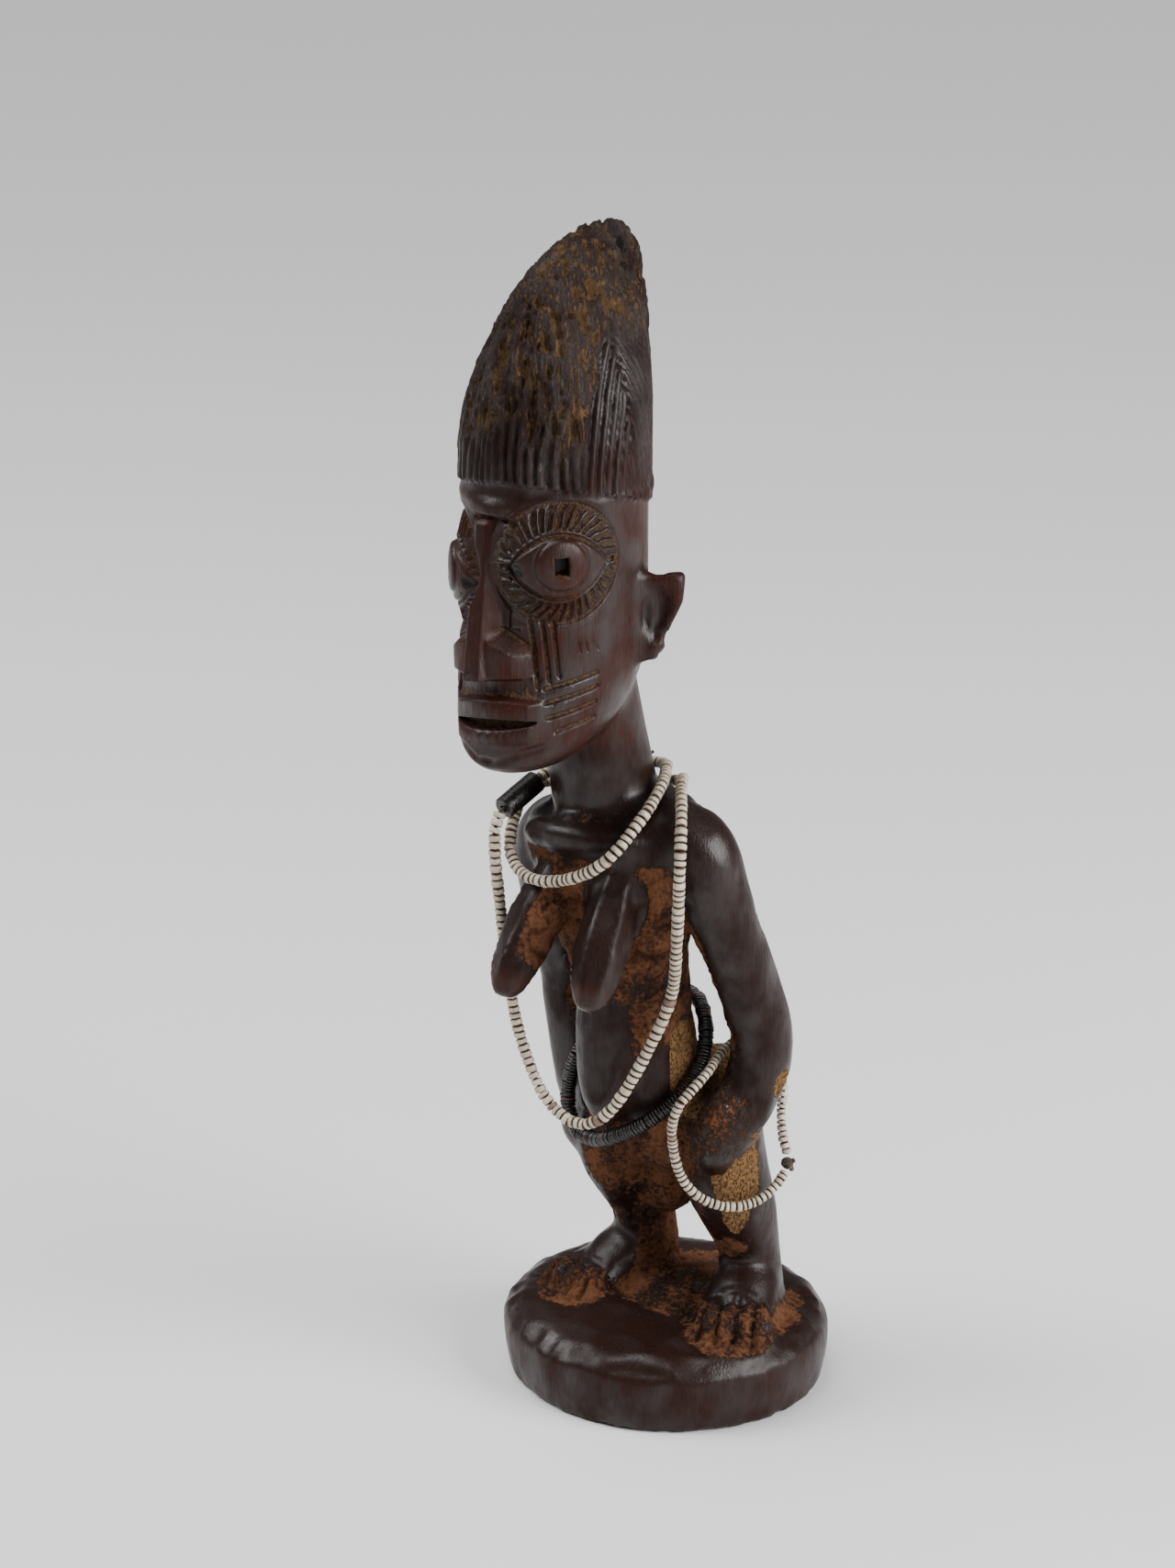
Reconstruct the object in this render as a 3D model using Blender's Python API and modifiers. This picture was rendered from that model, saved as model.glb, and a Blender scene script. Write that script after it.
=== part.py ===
"""Fertility doll: a carved wooden standing figure dressed with strung beads.

The figure and its round base are one block of wood.  A bead string is wound twice round
the neck, a strand of dark discs circles the waist and a short strand hangs from the
figure's left wrist.  Metres, +Z up, origin at the centre of the base's underside; the
figure faces -Y, so its left side is +X.
"""
import math

import bmesh
import bpy
from mathutils import Matrix, Vector

MM = 0.001

# ---- driving sizes, millimetres -------------------------------------------------
FIGURE_HEIGHT = 280.0
BASE_RADIUS = 40.0
BASE_DEPTH_RATIO = 0.94
BASE_HEIGHT = 18.0
BASE_EDGE_ROUND = 4.5
BASE_FOOT_INSET = 1.6

HEAD_AXIS = (-8.0, -33.0)
HEAD_HALF_WIDTH = 19.5
HEAD_HALF_DEPTH = 22.5
FACE_SLANT = 0.10
HAIR_STEP = 0.7
EYE_RADIUS = 13.0
EAR_THICKNESS = 3.0
EAR_SWEEP = 42.0
NECK_RADIUS = 11.8
LIMB_SIDES = 5

THREAD_DIAMETER = 0.9
BORE_PLAY = 0.45
END_GAP = 0.45
TUBE_END_GAP = 1.1
NECK_BEAD_DIAMETER = 3.1
WAIST_BEAD_DIAMETER = 3.7
WRIST_BEAD_DIAMETER = 2.5
TUBE_BEAD_DIAMETER = 5.3
NECK_RUNS = 12
WAIST_RUNS = 6
WRIST_RUNS = 5

# ---- routes of the three strands, millimetres -----------------------------------
# The neck string starts at its knot on the nape, takes the short turn, then the long
# turn up to the lower end of the tube bead.
NECK_TURNS = [
    (-3.4, -3.8, 153.4), (2.6, -5.4, 154.4), (7.6, -12.2, 155.6), (11.4, -19.5, 154.6),
    (13.2, -27.2, 151.5), (12.2, -32, 147.4), (10, -36.8, 142.4), (4.5, -38.6, 137.8),
    (-3.5, -39, 134.4), (-11, -38.8, 133.4), (-17.4, -36.6, 135.2), (-20.3, -34.3, 139),
    (-21.8, -30.6, 142.4), (-24.2, -25, 145.6), (-24.6, -17.5, 147.2), (-21.4, -9.6, 147.4),
    (-13.6, -4.8, 147.8), (-5, -4.2, 148.6), (2.6, -4.2, 149.8), (8.2, -6.6, 152), (11.6, -11.6, 154.2),
    (15.6, -17.8, 154.2), (19.6, -23.4, 151.8), (22.4, -27.6, 147), (23.4, -29.4, 140),
    (20.8, -26.6, 121), (16.9, -23, 106), (12.6, -25.8, 93), (7.6, -30.2, 80.8), (3, -32.2, 75.2),
    (-3, -32.6, 73.2), (-9, -32.6, 75.4), (-13.8, -32.8, 80.8), (-18.5, -33.9, 94), (-20, -35.6, 108.5),
    (-20.7, -37.2, 124), (-21.3, -38.4, 138), (-21.6, -35.8, 146.4)]
# From the upper end of the tube bead back to the knot.
NECK_RETURN = [(-20, -23, 151.2), (-18.8, -15, 153.6), (-13.2, -7.4, 154.2), (-6.6, -3.8, 153.6)]
NECK_KNOT = (-5, -3.8, 153.5)

WAIST_ROUTE = [
    (1.7, 3.5, 96), (7.4, 1.8, 95.6), (12.8, -3, 92.7), (15.1, -6.3, 88.6), (16, -9.9, 84.1),
    (15.6, -15, 80), (12.6, -18.8, 76), (7.5, -22, 71.4), (0, -22.4, 67), (-8, -18, 62.8),
    (-14.4, -16.2, 62.8), (-18.6, -14.4, 68), (-18, -13.6, 76), (-16.4, -12, 82),
    (-15.4, -6, 87.4), (-13, -0.6, 92), (-7, 2.8, 95), (-1.7, 3.6, 96)]
WAIST_KNOT = (0, 3.5, 96)

WRIST_ROUTE = [
    (32.2, 2.2, 57.8), (31.8, -2.2, 54.8), (29.6, -7.4, 52.6), (26, -11.8, 52.2),
    (21.6, -15.4, 54), (18.2, -17.6, 57.4), (16.2, -18.8, 62), (15.4, -19.6, 67.6),
    (16, -21, 73.6), (17.8, -20.6, 79), (19.2, -17, 82.2), (19.8, -11.8, 84.8),
    (18.4, -4, 87), (19.4, 4, 87.6), (24.6, 7.6, 84.4), (28.6, 6.2, 78), (29.6, 4, 71.6),
    (31, 3, 65.6), (32.2, 3, 62)]
WRIST_KNOT = (32.4, 2.7, 59.8)

REMESH_SIZE = 1.0
SMOOTH_STEPS = 3
KEPT_FACES = 0.06
GROUND_CUT = 30.0
FACE_RING = 36
FINE_STEPS = 12
NECK_TURN_POINTS = 73
NECK_RETURN_POINTS = 5
WAIST_POINTS = 37
WRIST_POINTS = 31


# ---- helpers --------------------------------------------------------------------
def clear_scene():
    for found in list(bpy.data.objects):
        bpy.data.objects.remove(found, do_unlink=True)


def collection(name):
    made = bpy.data.collections.new(name)
    bpy.context.scene.collection.children.link(made)
    return made


def material(name, colour, roughness):
    made = bpy.data.materials.new(name)
    made.use_nodes = True
    shader = made.node_tree.nodes["Principled BSDF"]
    shader.inputs["Base Color"].default_value = (*colour, 1.0)
    shader.inputs["Roughness"].default_value = roughness
    shader.inputs["Metallic"].default_value = 0.0
    return made


def mm(point):
    return Vector(point) * MM


def tilt(degrees_x=0.0, degrees_y=0.0, degrees_z=0.0):
    angles = [math.radians(value) for value in (degrees_x, degrees_y, degrees_z)]
    turn = Matrix.Rotation(angles[2], 4, "Z") @ Matrix.Rotation(angles[1], 4, "Y")
    return turn @ Matrix.Rotation(angles[0], 4, "X")


def add_ellipsoid(block, centre, semi_axes, turn=None, rings=20):
    """A stretched ball added to the figure's block."""
    place = Matrix.Translation(mm(centre)) @ (turn or Matrix.Identity(4))
    bmesh.ops.create_uvsphere(
        block, u_segments=FACE_RING, v_segments=rings, radius=1.0,
        matrix=place @ Matrix.Diagonal((*[size * MM for size in semi_axes], 1.0)))


def add_wedge(block, centre, size, turn=None, top_share=(1.0, 1.0)):
    """A box whose top face can be narrower than its bottom."""
    place = Matrix.Translation(mm(centre)) @ (turn or Matrix.Identity(4))
    made = bmesh.ops.create_cube(block, size=1.0)["verts"]
    for vert in made:
        share = top_share if vert.co.z > 0 else (1.0, 1.0)
        vert.co.x *= size[0] * share[0] * MM
        vert.co.y *= size[1] * share[1] * MM
        vert.co.z *= size[2] * MM
    bmesh.ops.transform(block, matrix=place, verts=made)


def add_loft(block, sections):
    """Closed skin through level sections (z, centre x, centre y, half x, half y)."""
    rings = []
    for z, centre_x, centre_y, half_x, half_y in sections:
        ring = []
        for step in range(FACE_RING):
            angle = 2 * math.pi * step / FACE_RING
            point = (centre_x + half_x * math.cos(angle), centre_y + half_y * math.sin(angle), z)
            ring.append(block.verts.new(mm(point)))
        rings.append(ring)
    for lower, upper in zip(rings, rings[1:]):
        for step in range(FACE_RING):
            after = (step + 1) % FACE_RING
            block.faces.new((lower[step], lower[after], upper[after], upper[step]))
    block.faces.new(list(reversed(rings[0])))
    block.faces.new(rings[-1])


def add_limb(block, route):
    """A tapering round limb through points (x, y, z, radius)."""
    curve = bpy.data.curves.new("limb", "CURVE")
    curve.dimensions = "3D"
    curve.bevel_depth = MM
    curve.bevel_resolution = LIMB_SIDES
    curve.use_fill_caps = True
    spline = curve.splines.new("NURBS")
    spline.points.add(len(route) - 1)
    for point, (x, y, z, radius) in zip(spline.points, route):
        point.co = (*mm((x, y, z)), 1.0)
        point.radius = radius
    spline.order_u = 3
    spline.use_endpoint_u = True
    add_curve_skin(block, curve, Matrix.Identity(4))


def add_curve_skin(block, curve, place):
    """The curve's closed skin, moved into place and added to the figure's block."""
    holder = bpy.data.objects.new(curve.name, curve)
    bpy.context.scene.collection.objects.link(holder)
    bpy.context.view_layer.update()
    seen = holder.evaluated_get(bpy.context.evaluated_depsgraph_get())
    mesh = bpy.data.meshes.new_from_object(seen)
    bpy.data.objects.remove(holder, do_unlink=True)
    skin = bmesh.new()
    skin.from_mesh(mesh)
    bmesh.ops.remove_doubles(skin, verts=skin.verts, dist=0.01 * MM)
    bmesh.ops.transform(skin, matrix=place, verts=skin.verts)
    if place.determinant() < 0:
        bmesh.ops.reverse_faces(skin, faces=skin.faces)
    skin.to_mesh(mesh)
    skin.free()
    block.from_mesh(mesh)
    bpy.data.meshes.remove(mesh)


# ---- the carved figure ------------------------------------------------------------
def add_base(block):
    wide = BASE_RADIUS
    sections = [(-GROUND_CUT / 6, wide - BASE_FOOT_INSET), (0.0, wide - BASE_FOOT_INSET),
                (BASE_HEIGHT * 0.4, wide - 0.2), (BASE_HEIGHT * 0.6, wide)]
    for step in range(1, 5):
        angle = math.radians(22.5 * step)
        sections.append((BASE_HEIGHT - BASE_EDGE_ROUND * (1 - math.sin(angle)),
                         wide - BASE_EDGE_ROUND * (1 - math.cos(angle))))
    add_loft(block, [(z, 0, 0, r, r * BASE_DEPTH_RATIO) for z, r in sections])


def add_feet(block):
    top = BASE_HEIGHT
    add_wedge(block, (22.5, -1, top + 2), (20, 29, 9), tilt(degrees_z=20), (0.8, 0.7))
    add_wedge(block, (-18, -1.5, top + 1.5), (19, 28, 8), tilt(degrees_z=-14), (0.8, 0.7))
    add_ellipsoid(block, (21, 3, top + 6), (8.5, 11, 7.5), tilt(degrees_x=14, degrees_z=20))
    add_ellipsoid(block, (-15, 4, top + 5), (8, 11, 7), tilt(degrees_x=14, degrees_z=-14))
    add_ellipsoid(block, (2, 8, top), (18, 14, 3.5))


def add_legs(block):
    add_limb(block, [(15, -3, 76, 11), (17.5, -4, 60, 11), (18.5, 3, 45, 9.5), (18.5, 9, 32, 6.8),
                     (19.5, 10, 13, 7.5)])
    add_limb(block, [(-11, -3, 72, 11), (-13, -3, 56, 10.5), (-13, 4, 44, 8.5),
                     (-11.5, 9.5, 33, 7.2), (-12, 9.5, 13, 8.5)])
    add_ellipsoid(block, (-4, 5, 50), (10, 8, 13))


def add_trunk(block):
    add_ellipsoid(block, (2, 1, 67), (20.5, 14, 15), tilt(degrees_y=-6))
    add_ellipsoid(block, (-8, 6.5, 69), (10.5, 11, 12), tilt(degrees_x=10))
    add_ellipsoid(block, (11, 6.5, 71), (10.5, 11, 12), tilt(degrees_x=10))
    add_loft(block, [
        (64, 1, -4, 17, 13), (74, 1, -6, 15, 13.5), (84, 1, -9.5, 12.4, 12.5),
        (96, 0.5, -12.5, 12, 13), (108, 0, -15.5, 13.5, 13.5), (118, -1, -17.5, 16.5, 14),
        (128, -1.5, -19, 20, 13.8), (137, -1.5, -20, 23, 13.5), (143, -0.5, -19.5, 23, 12.5),
        (148, 2.5, -18, 18.5, 10.5), (151.5, 4, -17, 12, 8)])
    add_ellipsoid(block, (-1.5, -19.5, 96), (8.5, 9, 27), tilt(degrees_x=-7))
    add_ellipsoid(block, (-3, -27, 141.5), (17.5, 10, 5.5), tilt(degrees_x=-18, degrees_y=-4))


def add_breasts(block):
    for side, top, tip in ((1, (7, -29, 133), (9, -42.5, 111)), (-1, (-10, -29, 132), (-12.5, -45, 110.5))):
        add_limb(block, [(*top, 5), (top[0] + side, top[1] - 7, 124.5, 6.6), (*tip, 5.6),
                         (tip[0], tip[1] - 2.2, tip[2] - 3.6, 2.4)])


def add_arms(block):
    add_limb(block, [(14, -18, 143, 8.5), (20.4, -18, 143.5, 9), (23.7, -15, 128, 8),
                     (26.5, -7, 108, 7.5), (28, -1, 92, 7.4), (27, -3, 80, 7.2), (24, -7, 73, 7)])
    add_ellipsoid(block, (24, -8.5, 73), (6, 8.5, 10), tilt(degrees_x=18))
    add_ellipsoid(block, (22, -12, 68), (5.2, 6, 8.5), tilt(degrees_x=18))
    add_limb(block, [(-16, -16, 138, 8.5), (-22.5, -15, 137, 8.8), (-26.5, -11, 124, 7.8),
                     (-28, -3, 104, 7), (-27.5, 0, 88, 7), (-25.5, 0, 72, 6.6), (-22, -2, 62, 6)])
    add_ellipsoid(block, (-21, -3, 61), (6, 7.5, 10), tilt(degrees_x=6))


def add_neck(block):
    wide = NECK_RADIUS
    add_loft(block, [
        (142, -4, -19, wide, wide - 2), (148, -4.5, -18.5, wide + 1, wide),
        (156, -5, -19.5, wide, wide), (182, -6, -24.5, wide - 1, wide - 1)])


def on_head_axis(sections):
    """Sections (z, x, y, half x, half y) whose x and y are measured from the head's axis."""
    return [(z, HEAD_AXIS[0] + x, HEAD_AXIS[1] + y, a, b) for z, x, y, a, b in sections]


def add_head(block):
    wide = HEAD_HALF_WIDTH
    deep = HEAD_HALF_DEPTH
    add_loft(block, on_head_axis([
        (163.5, 0, -15, 6, 7), (165.5, 0, -13.5, 11, 12), (169, 0, -10, 14.5, 16.5),
        (175, 0, -5, 17.2, 21.5), (183, 0, -2, 18.8, 23.2), (193, 0, -0.5, wide, 23),
        (206, 0, 0, wide, deep), (226, 0, 0, wide, deep), (230, 0, 0, wide - 1, deep - 1)]))


def add_crest(block):
    wide = HEAD_HALF_WIDTH + HAIR_STEP
    deep = HEAD_HALF_DEPTH + HAIR_STEP
    add_loft(block, on_head_axis([
        (224, 0, 0, wide, deep), (235, 0, 0.3, wide - 0.3, deep), (243, 0.4, 1, wide - 1.2, deep - 0.3),
        (251, 0.8, 2.3, wide - 3.6, deep - 0.6), (259, 1.2, 4, wide - 6.6, deep - 1.6),
        (266.5, 1.5, 6.5, wide - 10, deep - 3.2), (272.5, 1.5, 9.5, wide - 13.4, deep - 6),
        (277, 1.5, 12.5, wide - 16, deep - 11), (FIGURE_HEIGHT, 1.5, 15, 1.4, 6)]))
    add_limb(block, [(-6, -13, 245, 3.5), (-6.5, -9, 262, 3.2), (-7, -7.5, FIGURE_HEIGHT - 5.5, 2.7)])


def add_features(block):
    head_x, head_y = HEAD_AXIS
    front = head_y - HEAD_HALF_DEPTH
    add_limb(block, [(head_x, front + 1.2, 223, 2.2), (head_x, front - 1.2, 207, 3.2),
                     (head_x, front - 3.4, 192, 4.8), (head_x, front - 2.4, 188, 4)])
    for side in (-1, 1):
        slant = FACE_SLANT * HEAD_HALF_WIDTH * side
        add_ellipsoid(block, (head_x + 5.8 * side, front - 1, 190.5), (4.6, 4.6, 4.2))
        add_ellipsoid(block, (head_x + 11.0 * side, head_y - 14.6, 209.5 + slant),
                      (EYE_RADIUS, 4.6, EYE_RADIUS), tilt(degrees_z=44 * side))
        add_ellipsoid(block, (head_x + 12.6 * side, head_y - 16.4, 210 + slant),
                      (6, 4.4, 6), tilt(degrees_z=44 * side))
        add_ear(block, side, slant)
    add_wedge(block, (head_x, front + 2, 182.5), (19, 12, 6.5), tilt(degrees_x=6), (0.85, 0.9))
    add_wedge(block, (head_x, front + 3, 174), (20, 11, 6.5), tilt(degrees_x=-4), (0.95, 1.0))


def add_ear(block, side, slant):
    """A flat shell that stands out and back from the side of the head."""
    outline = [(-3, 20), (9.4, 21.5), (8.6, 13), (6.2, 4.5), (3, 0), (-3, 1)]
    curve = bpy.data.curves.new("ear", "CURVE")
    curve.dimensions = "2D"
    curve.fill_mode = "BOTH"
    curve.extrude = EAR_THICKNESS / 2 * MM
    spline = curve.splines.new("POLY")
    spline.points.add(len(outline) - 1)
    for point, (out, up) in zip(spline.points, outline):
        point.co = (out * MM, up * MM, 0.0, 1.0)
    spline.use_cyclic_u = True
    upright = Matrix.Rotation(math.radians(90), 4, "X")
    swept = Matrix.Rotation(math.radians(EAR_SWEEP), 4, "Z")
    mirrored = Matrix.Diagonal((side, 1.0, 1.0, 1.0))
    root = (HEAD_AXIS[0] + side * (HEAD_HALF_WIDTH - 1), HEAD_AXIS[1] + 5, 183 + slant)
    add_curve_skin(block, curve, Matrix.Translation(mm(root)) @ mirrored @ swept @ upright)


def make_figure(parts, cutters, wood):
    block = bmesh.new()
    for add in (add_base, add_feet, add_legs, add_trunk, add_breasts, add_arms, add_neck, add_head,
                add_crest, add_features):
        add(block)
    mesh = bpy.data.meshes.new("figure")
    block.to_mesh(mesh)
    block.free()
    mesh.materials.append(wood)
    figure = bpy.data.objects.new("figure", mesh)
    parts.objects.link(figure)

    fuse = figure.modifiers.new("fuse", "REMESH")
    fuse.mode = "VOXEL"
    fuse.voxel_size = REMESH_SIZE * MM
    ease = figure.modifiers.new("ease", "SMOOTH")
    ease.factor = 0.5
    ease.iterations = SMOOTH_STEPS
    thin = figure.modifiers.new("thin", "DECIMATE")
    thin.ratio = KEPT_FACES
    ground = figure.modifiers.new("ground", "BOOLEAN")
    ground.operation = "DIFFERENCE"
    ground.object = make_ground_cutter(cutters)
    return figure


def make_ground_cutter(cutters):
    """A slab below the ground plane, which leaves the underside flat."""
    slab = bmesh.new()
    bmesh.ops.create_cube(slab, size=1.0)
    side = 4 * BASE_RADIUS * MM
    bmesh.ops.transform(slab, matrix=Matrix.Diagonal((side, side, GROUND_CUT * MM, 1)), verts=slab.verts)
    mesh = bpy.data.meshes.new("ground_cutter")
    slab.to_mesh(mesh)
    slab.free()
    cutter = bpy.data.objects.new("ground_cutter", mesh)
    cutter.location.z = -GROUND_CUT * MM / 2
    cutter.hide_render = True
    cutter.display_type = "WIRE"
    cutters.objects.link(cutter)
    return cutter


# ---- threads and beads --------------------------------------------------------------
def smooth_route(points, count, beyond=None):
    """Evenly spaced points on a smooth curve through the given ones, ends included."""
    marks = [Vector(point) for point in points]
    last = Vector(beyond) if beyond else marks[-1] * 2 - marks[-2]
    guides = [marks[0] * 2 - marks[1], *marks, last]
    fine = []
    for before, start, end, after in zip(guides, guides[1:], guides[2:], guides[3:]):
        for step in range(FINE_STEPS):
            t = step / FINE_STEPS
            fine.append(0.5 * (2 * start + (end - before) * t
                               + (2 * before - 5 * start + 4 * end - after) * t * t
                               + (3 * start - before - 3 * end + after) * t ** 3))
    fine.append(marks[-1])
    reach = [0.0]
    for here, there in zip(fine, fine[1:]):
        reach.append(reach[-1] + (there - here).length)
    even = []
    at = 0
    for step in range(count):
        wanted = reach[-1] * step / (count - 1)
        while at < len(fine) - 2 and reach[at + 1] < wanted:
            at += 1
        share = (wanted - reach[at]) / (reach[at + 1] - reach[at])
        even.append(fine[at].lerp(fine[at + 1], min(share, 1.0)))
    return even


def tube_curve(name, points, radius, capped):
    curve = bpy.data.curves.new(name, "CURVE")
    curve.dimensions = "3D"
    curve.bevel_depth = radius * MM
    curve.bevel_resolution = 2
    curve.use_fill_caps = capped
    spline = curve.splines.new("POLY")
    spline.points.add(len(points) - 1)
    for spot, point in zip(spline.points, points):
        spot.co = (*(Vector(point) * MM), 1.0)
    return curve


def make_thread(parts, name, points, look):
    curve = tube_curve(name, points, THREAD_DIAMETER / 2, True)
    curve.materials.append(look)
    thread = bpy.data.objects.new(name, curve)
    parts.objects.link(thread)
    return thread


def make_sleeve(parts, name, points, diameter, look):
    """Beads strung close together: a tube round the thread with an open bore."""
    wall = diameter / 2 - THREAD_DIAMETER / 2 - BORE_PLAY
    holder = bpy.data.objects.new(name, tube_curve(name, points, diameter / 2, False))
    parts.objects.link(holder)
    bpy.context.view_layer.update()
    seen = holder.evaluated_get(bpy.context.evaluated_depsgraph_get())
    mesh = bpy.data.meshes.new_from_object(seen)
    bpy.data.objects.remove(holder, do_unlink=True)
    mesh.name = name
    mesh.materials.clear()
    mesh.materials.append(look)
    mesh.shade_smooth()
    sleeve = bpy.data.objects.new(name, mesh)
    parts.objects.link(sleeve)
    shell = sleeve.modifiers.new("bore", "SOLIDIFY")
    shell.thickness = wall * MM
    shell.offset = -1.0
    return sleeve


def make_runs(parts, name, points, count, diameter, look):
    """Bead runs one behind another, which share the thread's own points."""
    for run in range(count):
        first = round((len(points) - 1) * run / count)
        last = round((len(points) - 1) * (run + 1) / count)
        inner = points[first + 1:last]
        head = points[first] + (inner[0] - points[first]).normalized() * END_GAP
        foot = points[last] + (inner[-1] - points[last]).normalized() * END_GAP
        make_sleeve(parts, f"{name}_{run + 1:02d}", [head, *inner, foot], diameter, look)


def make_knot(parts, name, centre, radius, look):
    ball = bmesh.new()
    bmesh.ops.create_icosphere(ball, subdivisions=2, radius=radius * MM)
    mesh = bpy.data.meshes.new(name)
    ball.to_mesh(mesh)
    ball.free()
    mesh.materials.append(look)
    mesh.shade_smooth()
    knot = bpy.data.objects.new(name, mesh)
    knot.location = mm(centre)
    parts.objects.link(knot)
    return knot


def make_neck_string(parts, thread_look, bead_look, tube_look):
    turns = smooth_route(NECK_TURNS, NECK_TURN_POINTS, NECK_RETURN[0])
    back = list(reversed(smooth_route(list(reversed(NECK_RETURN)), NECK_RETURN_POINTS, NECK_TURNS[-1])))
    make_thread(parts, "neck_thread", turns + back, thread_look)
    make_runs(parts, "neck_beads", turns, NECK_RUNS, NECK_BEAD_DIAMETER, bead_look)
    make_runs(parts, "neck_return_beads", back, 1, NECK_BEAD_DIAMETER, bead_look)
    along = (back[0] - turns[-1]).normalized() * TUBE_END_GAP
    middle = (turns[-1] + back[0]) / 2
    make_sleeve(parts, "tube_bead", [turns[-1] + along, middle, back[0] - along],
                TUBE_BEAD_DIAMETER, tube_look)
    make_knot(parts, "neck_knot", NECK_KNOT, 1.2, thread_look)


def make_waist_strand(parts, thread_look, bead_look):
    points = smooth_route(WAIST_ROUTE, WAIST_POINTS)
    make_thread(parts, "waist_thread", points, thread_look)
    make_runs(parts, "waist_beads", points, WAIST_RUNS, WAIST_BEAD_DIAMETER, bead_look)
    make_knot(parts, "waist_knot", WAIST_KNOT, 1.0, thread_look)


def make_wrist_strand(parts, thread_look, bead_look):
    points = smooth_route(WRIST_ROUTE, WRIST_POINTS)
    make_thread(parts, "wrist_thread", points, thread_look)
    make_runs(parts, "wrist_beads", points, WRIST_RUNS, WRIST_BEAD_DIAMETER, bead_look)
    make_knot(parts, "wrist_knot", WRIST_KNOT, 1.7, thread_look)


def main():
    clear_scene()
    parts = collection("fertility_doll")
    cutters = collection("cutters")
    yarn = material("brown_yarn", (0.05, 0.025, 0.015), 0.9)
    ivory = material("ivory_bead", (0.62, 0.58, 0.5), 0.5)
    black = material("black_bead", (0.012, 0.01, 0.01), 0.35)
    make_figure(parts, cutters, material("dark_wood", (0.055, 0.025, 0.015), 0.35))
    make_neck_string(parts, yarn, ivory, black)
    make_waist_strand(parts, yarn, black)
    make_wrist_strand(parts, yarn, ivory)


main()
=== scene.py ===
"""A carved wooden twin doll on a round base, wearing three strings of beads.

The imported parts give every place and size. The carving is cut into a fine copy of the
packed figure, and each run of beads is strung again bead by bead on its own thread.
Sizes in the functions are millimetres; MM turns them into Blender's metres.
"""
import itertools
import math
import random

import bmesh
import bpy
import numpy as np
from bpy.props import FloatProperty, FloatVectorProperty, IntProperty, PointerProperty
from bpy.types import Operator, Panel, PropertyGroup
from mathutils import Matrix, Vector, kdtree
from mathutils.bvhtree import BVHTree


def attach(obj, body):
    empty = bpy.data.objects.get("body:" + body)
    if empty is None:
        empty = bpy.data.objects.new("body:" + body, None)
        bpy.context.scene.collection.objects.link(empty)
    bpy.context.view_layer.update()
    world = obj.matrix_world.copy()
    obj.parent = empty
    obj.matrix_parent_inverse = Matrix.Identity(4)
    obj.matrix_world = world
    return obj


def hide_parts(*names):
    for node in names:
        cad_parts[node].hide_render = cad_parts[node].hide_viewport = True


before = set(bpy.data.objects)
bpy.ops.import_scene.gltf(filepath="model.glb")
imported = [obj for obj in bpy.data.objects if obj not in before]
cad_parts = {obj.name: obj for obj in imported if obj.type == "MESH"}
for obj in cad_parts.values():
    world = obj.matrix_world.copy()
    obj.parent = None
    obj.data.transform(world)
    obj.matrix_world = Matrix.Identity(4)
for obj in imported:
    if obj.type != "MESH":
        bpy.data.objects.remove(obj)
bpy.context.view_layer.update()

bl_info = {
    "name": "Carved Twin Doll",
    "version": (1, 0, 0),
    "blender": (4, 5, 0),
    "location": "View3D > Sidebar > Doll",
    "description": "Carved wooden doll with strings of beads, built over its packed parts",
    "category": "Add Mesh",
}

MM = 0.001

# ---- routes of the strands, millimetres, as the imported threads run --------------
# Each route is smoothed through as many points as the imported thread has, and its beads
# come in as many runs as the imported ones.
NECK_POINTS, NECK_RUNS = 73, 12
RETURN_POINTS = 5                   # the short stretch from the tube bead to the knot
WAIST_POINTS, WAIST_RUNS = 37, 6
WRIST_POINTS, WRIST_RUNS = 31, 5
NECK_TURNS = [
    (-3.4, -3.8, 153.4), (2.6, -5.4, 154.4), (7.6, -12.2, 155.6), (11.4, -19.5, 154.6),
    (13.2, -27.2, 151.5), (12.2, -32, 147.4), (10, -36.8, 142.4), (4.5, -38.6, 137.8),
    (-3.5, -39, 134.4), (-11, -38.8, 133.4), (-17.4, -36.6, 135.2), (-20.3, -34.3, 139),
    (-21.8, -30.6, 142.4), (-24.2, -25, 145.6), (-24.6, -17.5, 147.2), (-21.4, -9.6, 147.4),
    (-13.6, -4.8, 147.8), (-5, -4.2, 148.6), (2.6, -4.2, 149.8), (8.2, -6.6, 152), (11.6, -11.6, 154.2),
    (15.6, -17.8, 154.2), (19.6, -23.4, 151.8), (22.4, -27.6, 147), (23.4, -29.4, 140),
    (20.8, -26.6, 121), (16.9, -23, 106), (12.6, -25.8, 93), (7.6, -30.2, 80.8), (3, -32.2, 75.2),
    (-3, -32.6, 73.2), (-9, -32.6, 75.4), (-13.8, -32.8, 80.8), (-18.5, -33.9, 94), (-20, -35.6, 108.5),
    (-20.7, -37.2, 124), (-21.3, -38.4, 138), (-21.6, -35.8, 146.4)]
NECK_RETURN = [(-20, -23, 151.2), (-18.8, -15, 153.6), (-13.2, -7.4, 154.2), (-6.6, -3.8, 153.6)]
NECK_KNOT = (-5, -3.8, 153.5)
WAIST_ROUTE = [
    (1.7, 3.5, 96), (7.4, 1.8, 95.6), (12.8, -3, 92.7), (15.1, -6.3, 88.6), (16, -9.9, 84.1),
    (15.6, -15, 80), (12.6, -18.8, 76), (7.5, -22, 71.4), (0, -22.4, 67), (-8, -18, 62.8),
    (-14.4, -16.2, 62.8), (-18.6, -14.4, 68), (-18, -13.6, 76), (-16.4, -12, 82),
    (-15.4, -6, 87.4), (-13, -0.6, 92), (-7, 2.8, 95), (-1.7, 3.6, 96)]
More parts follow.
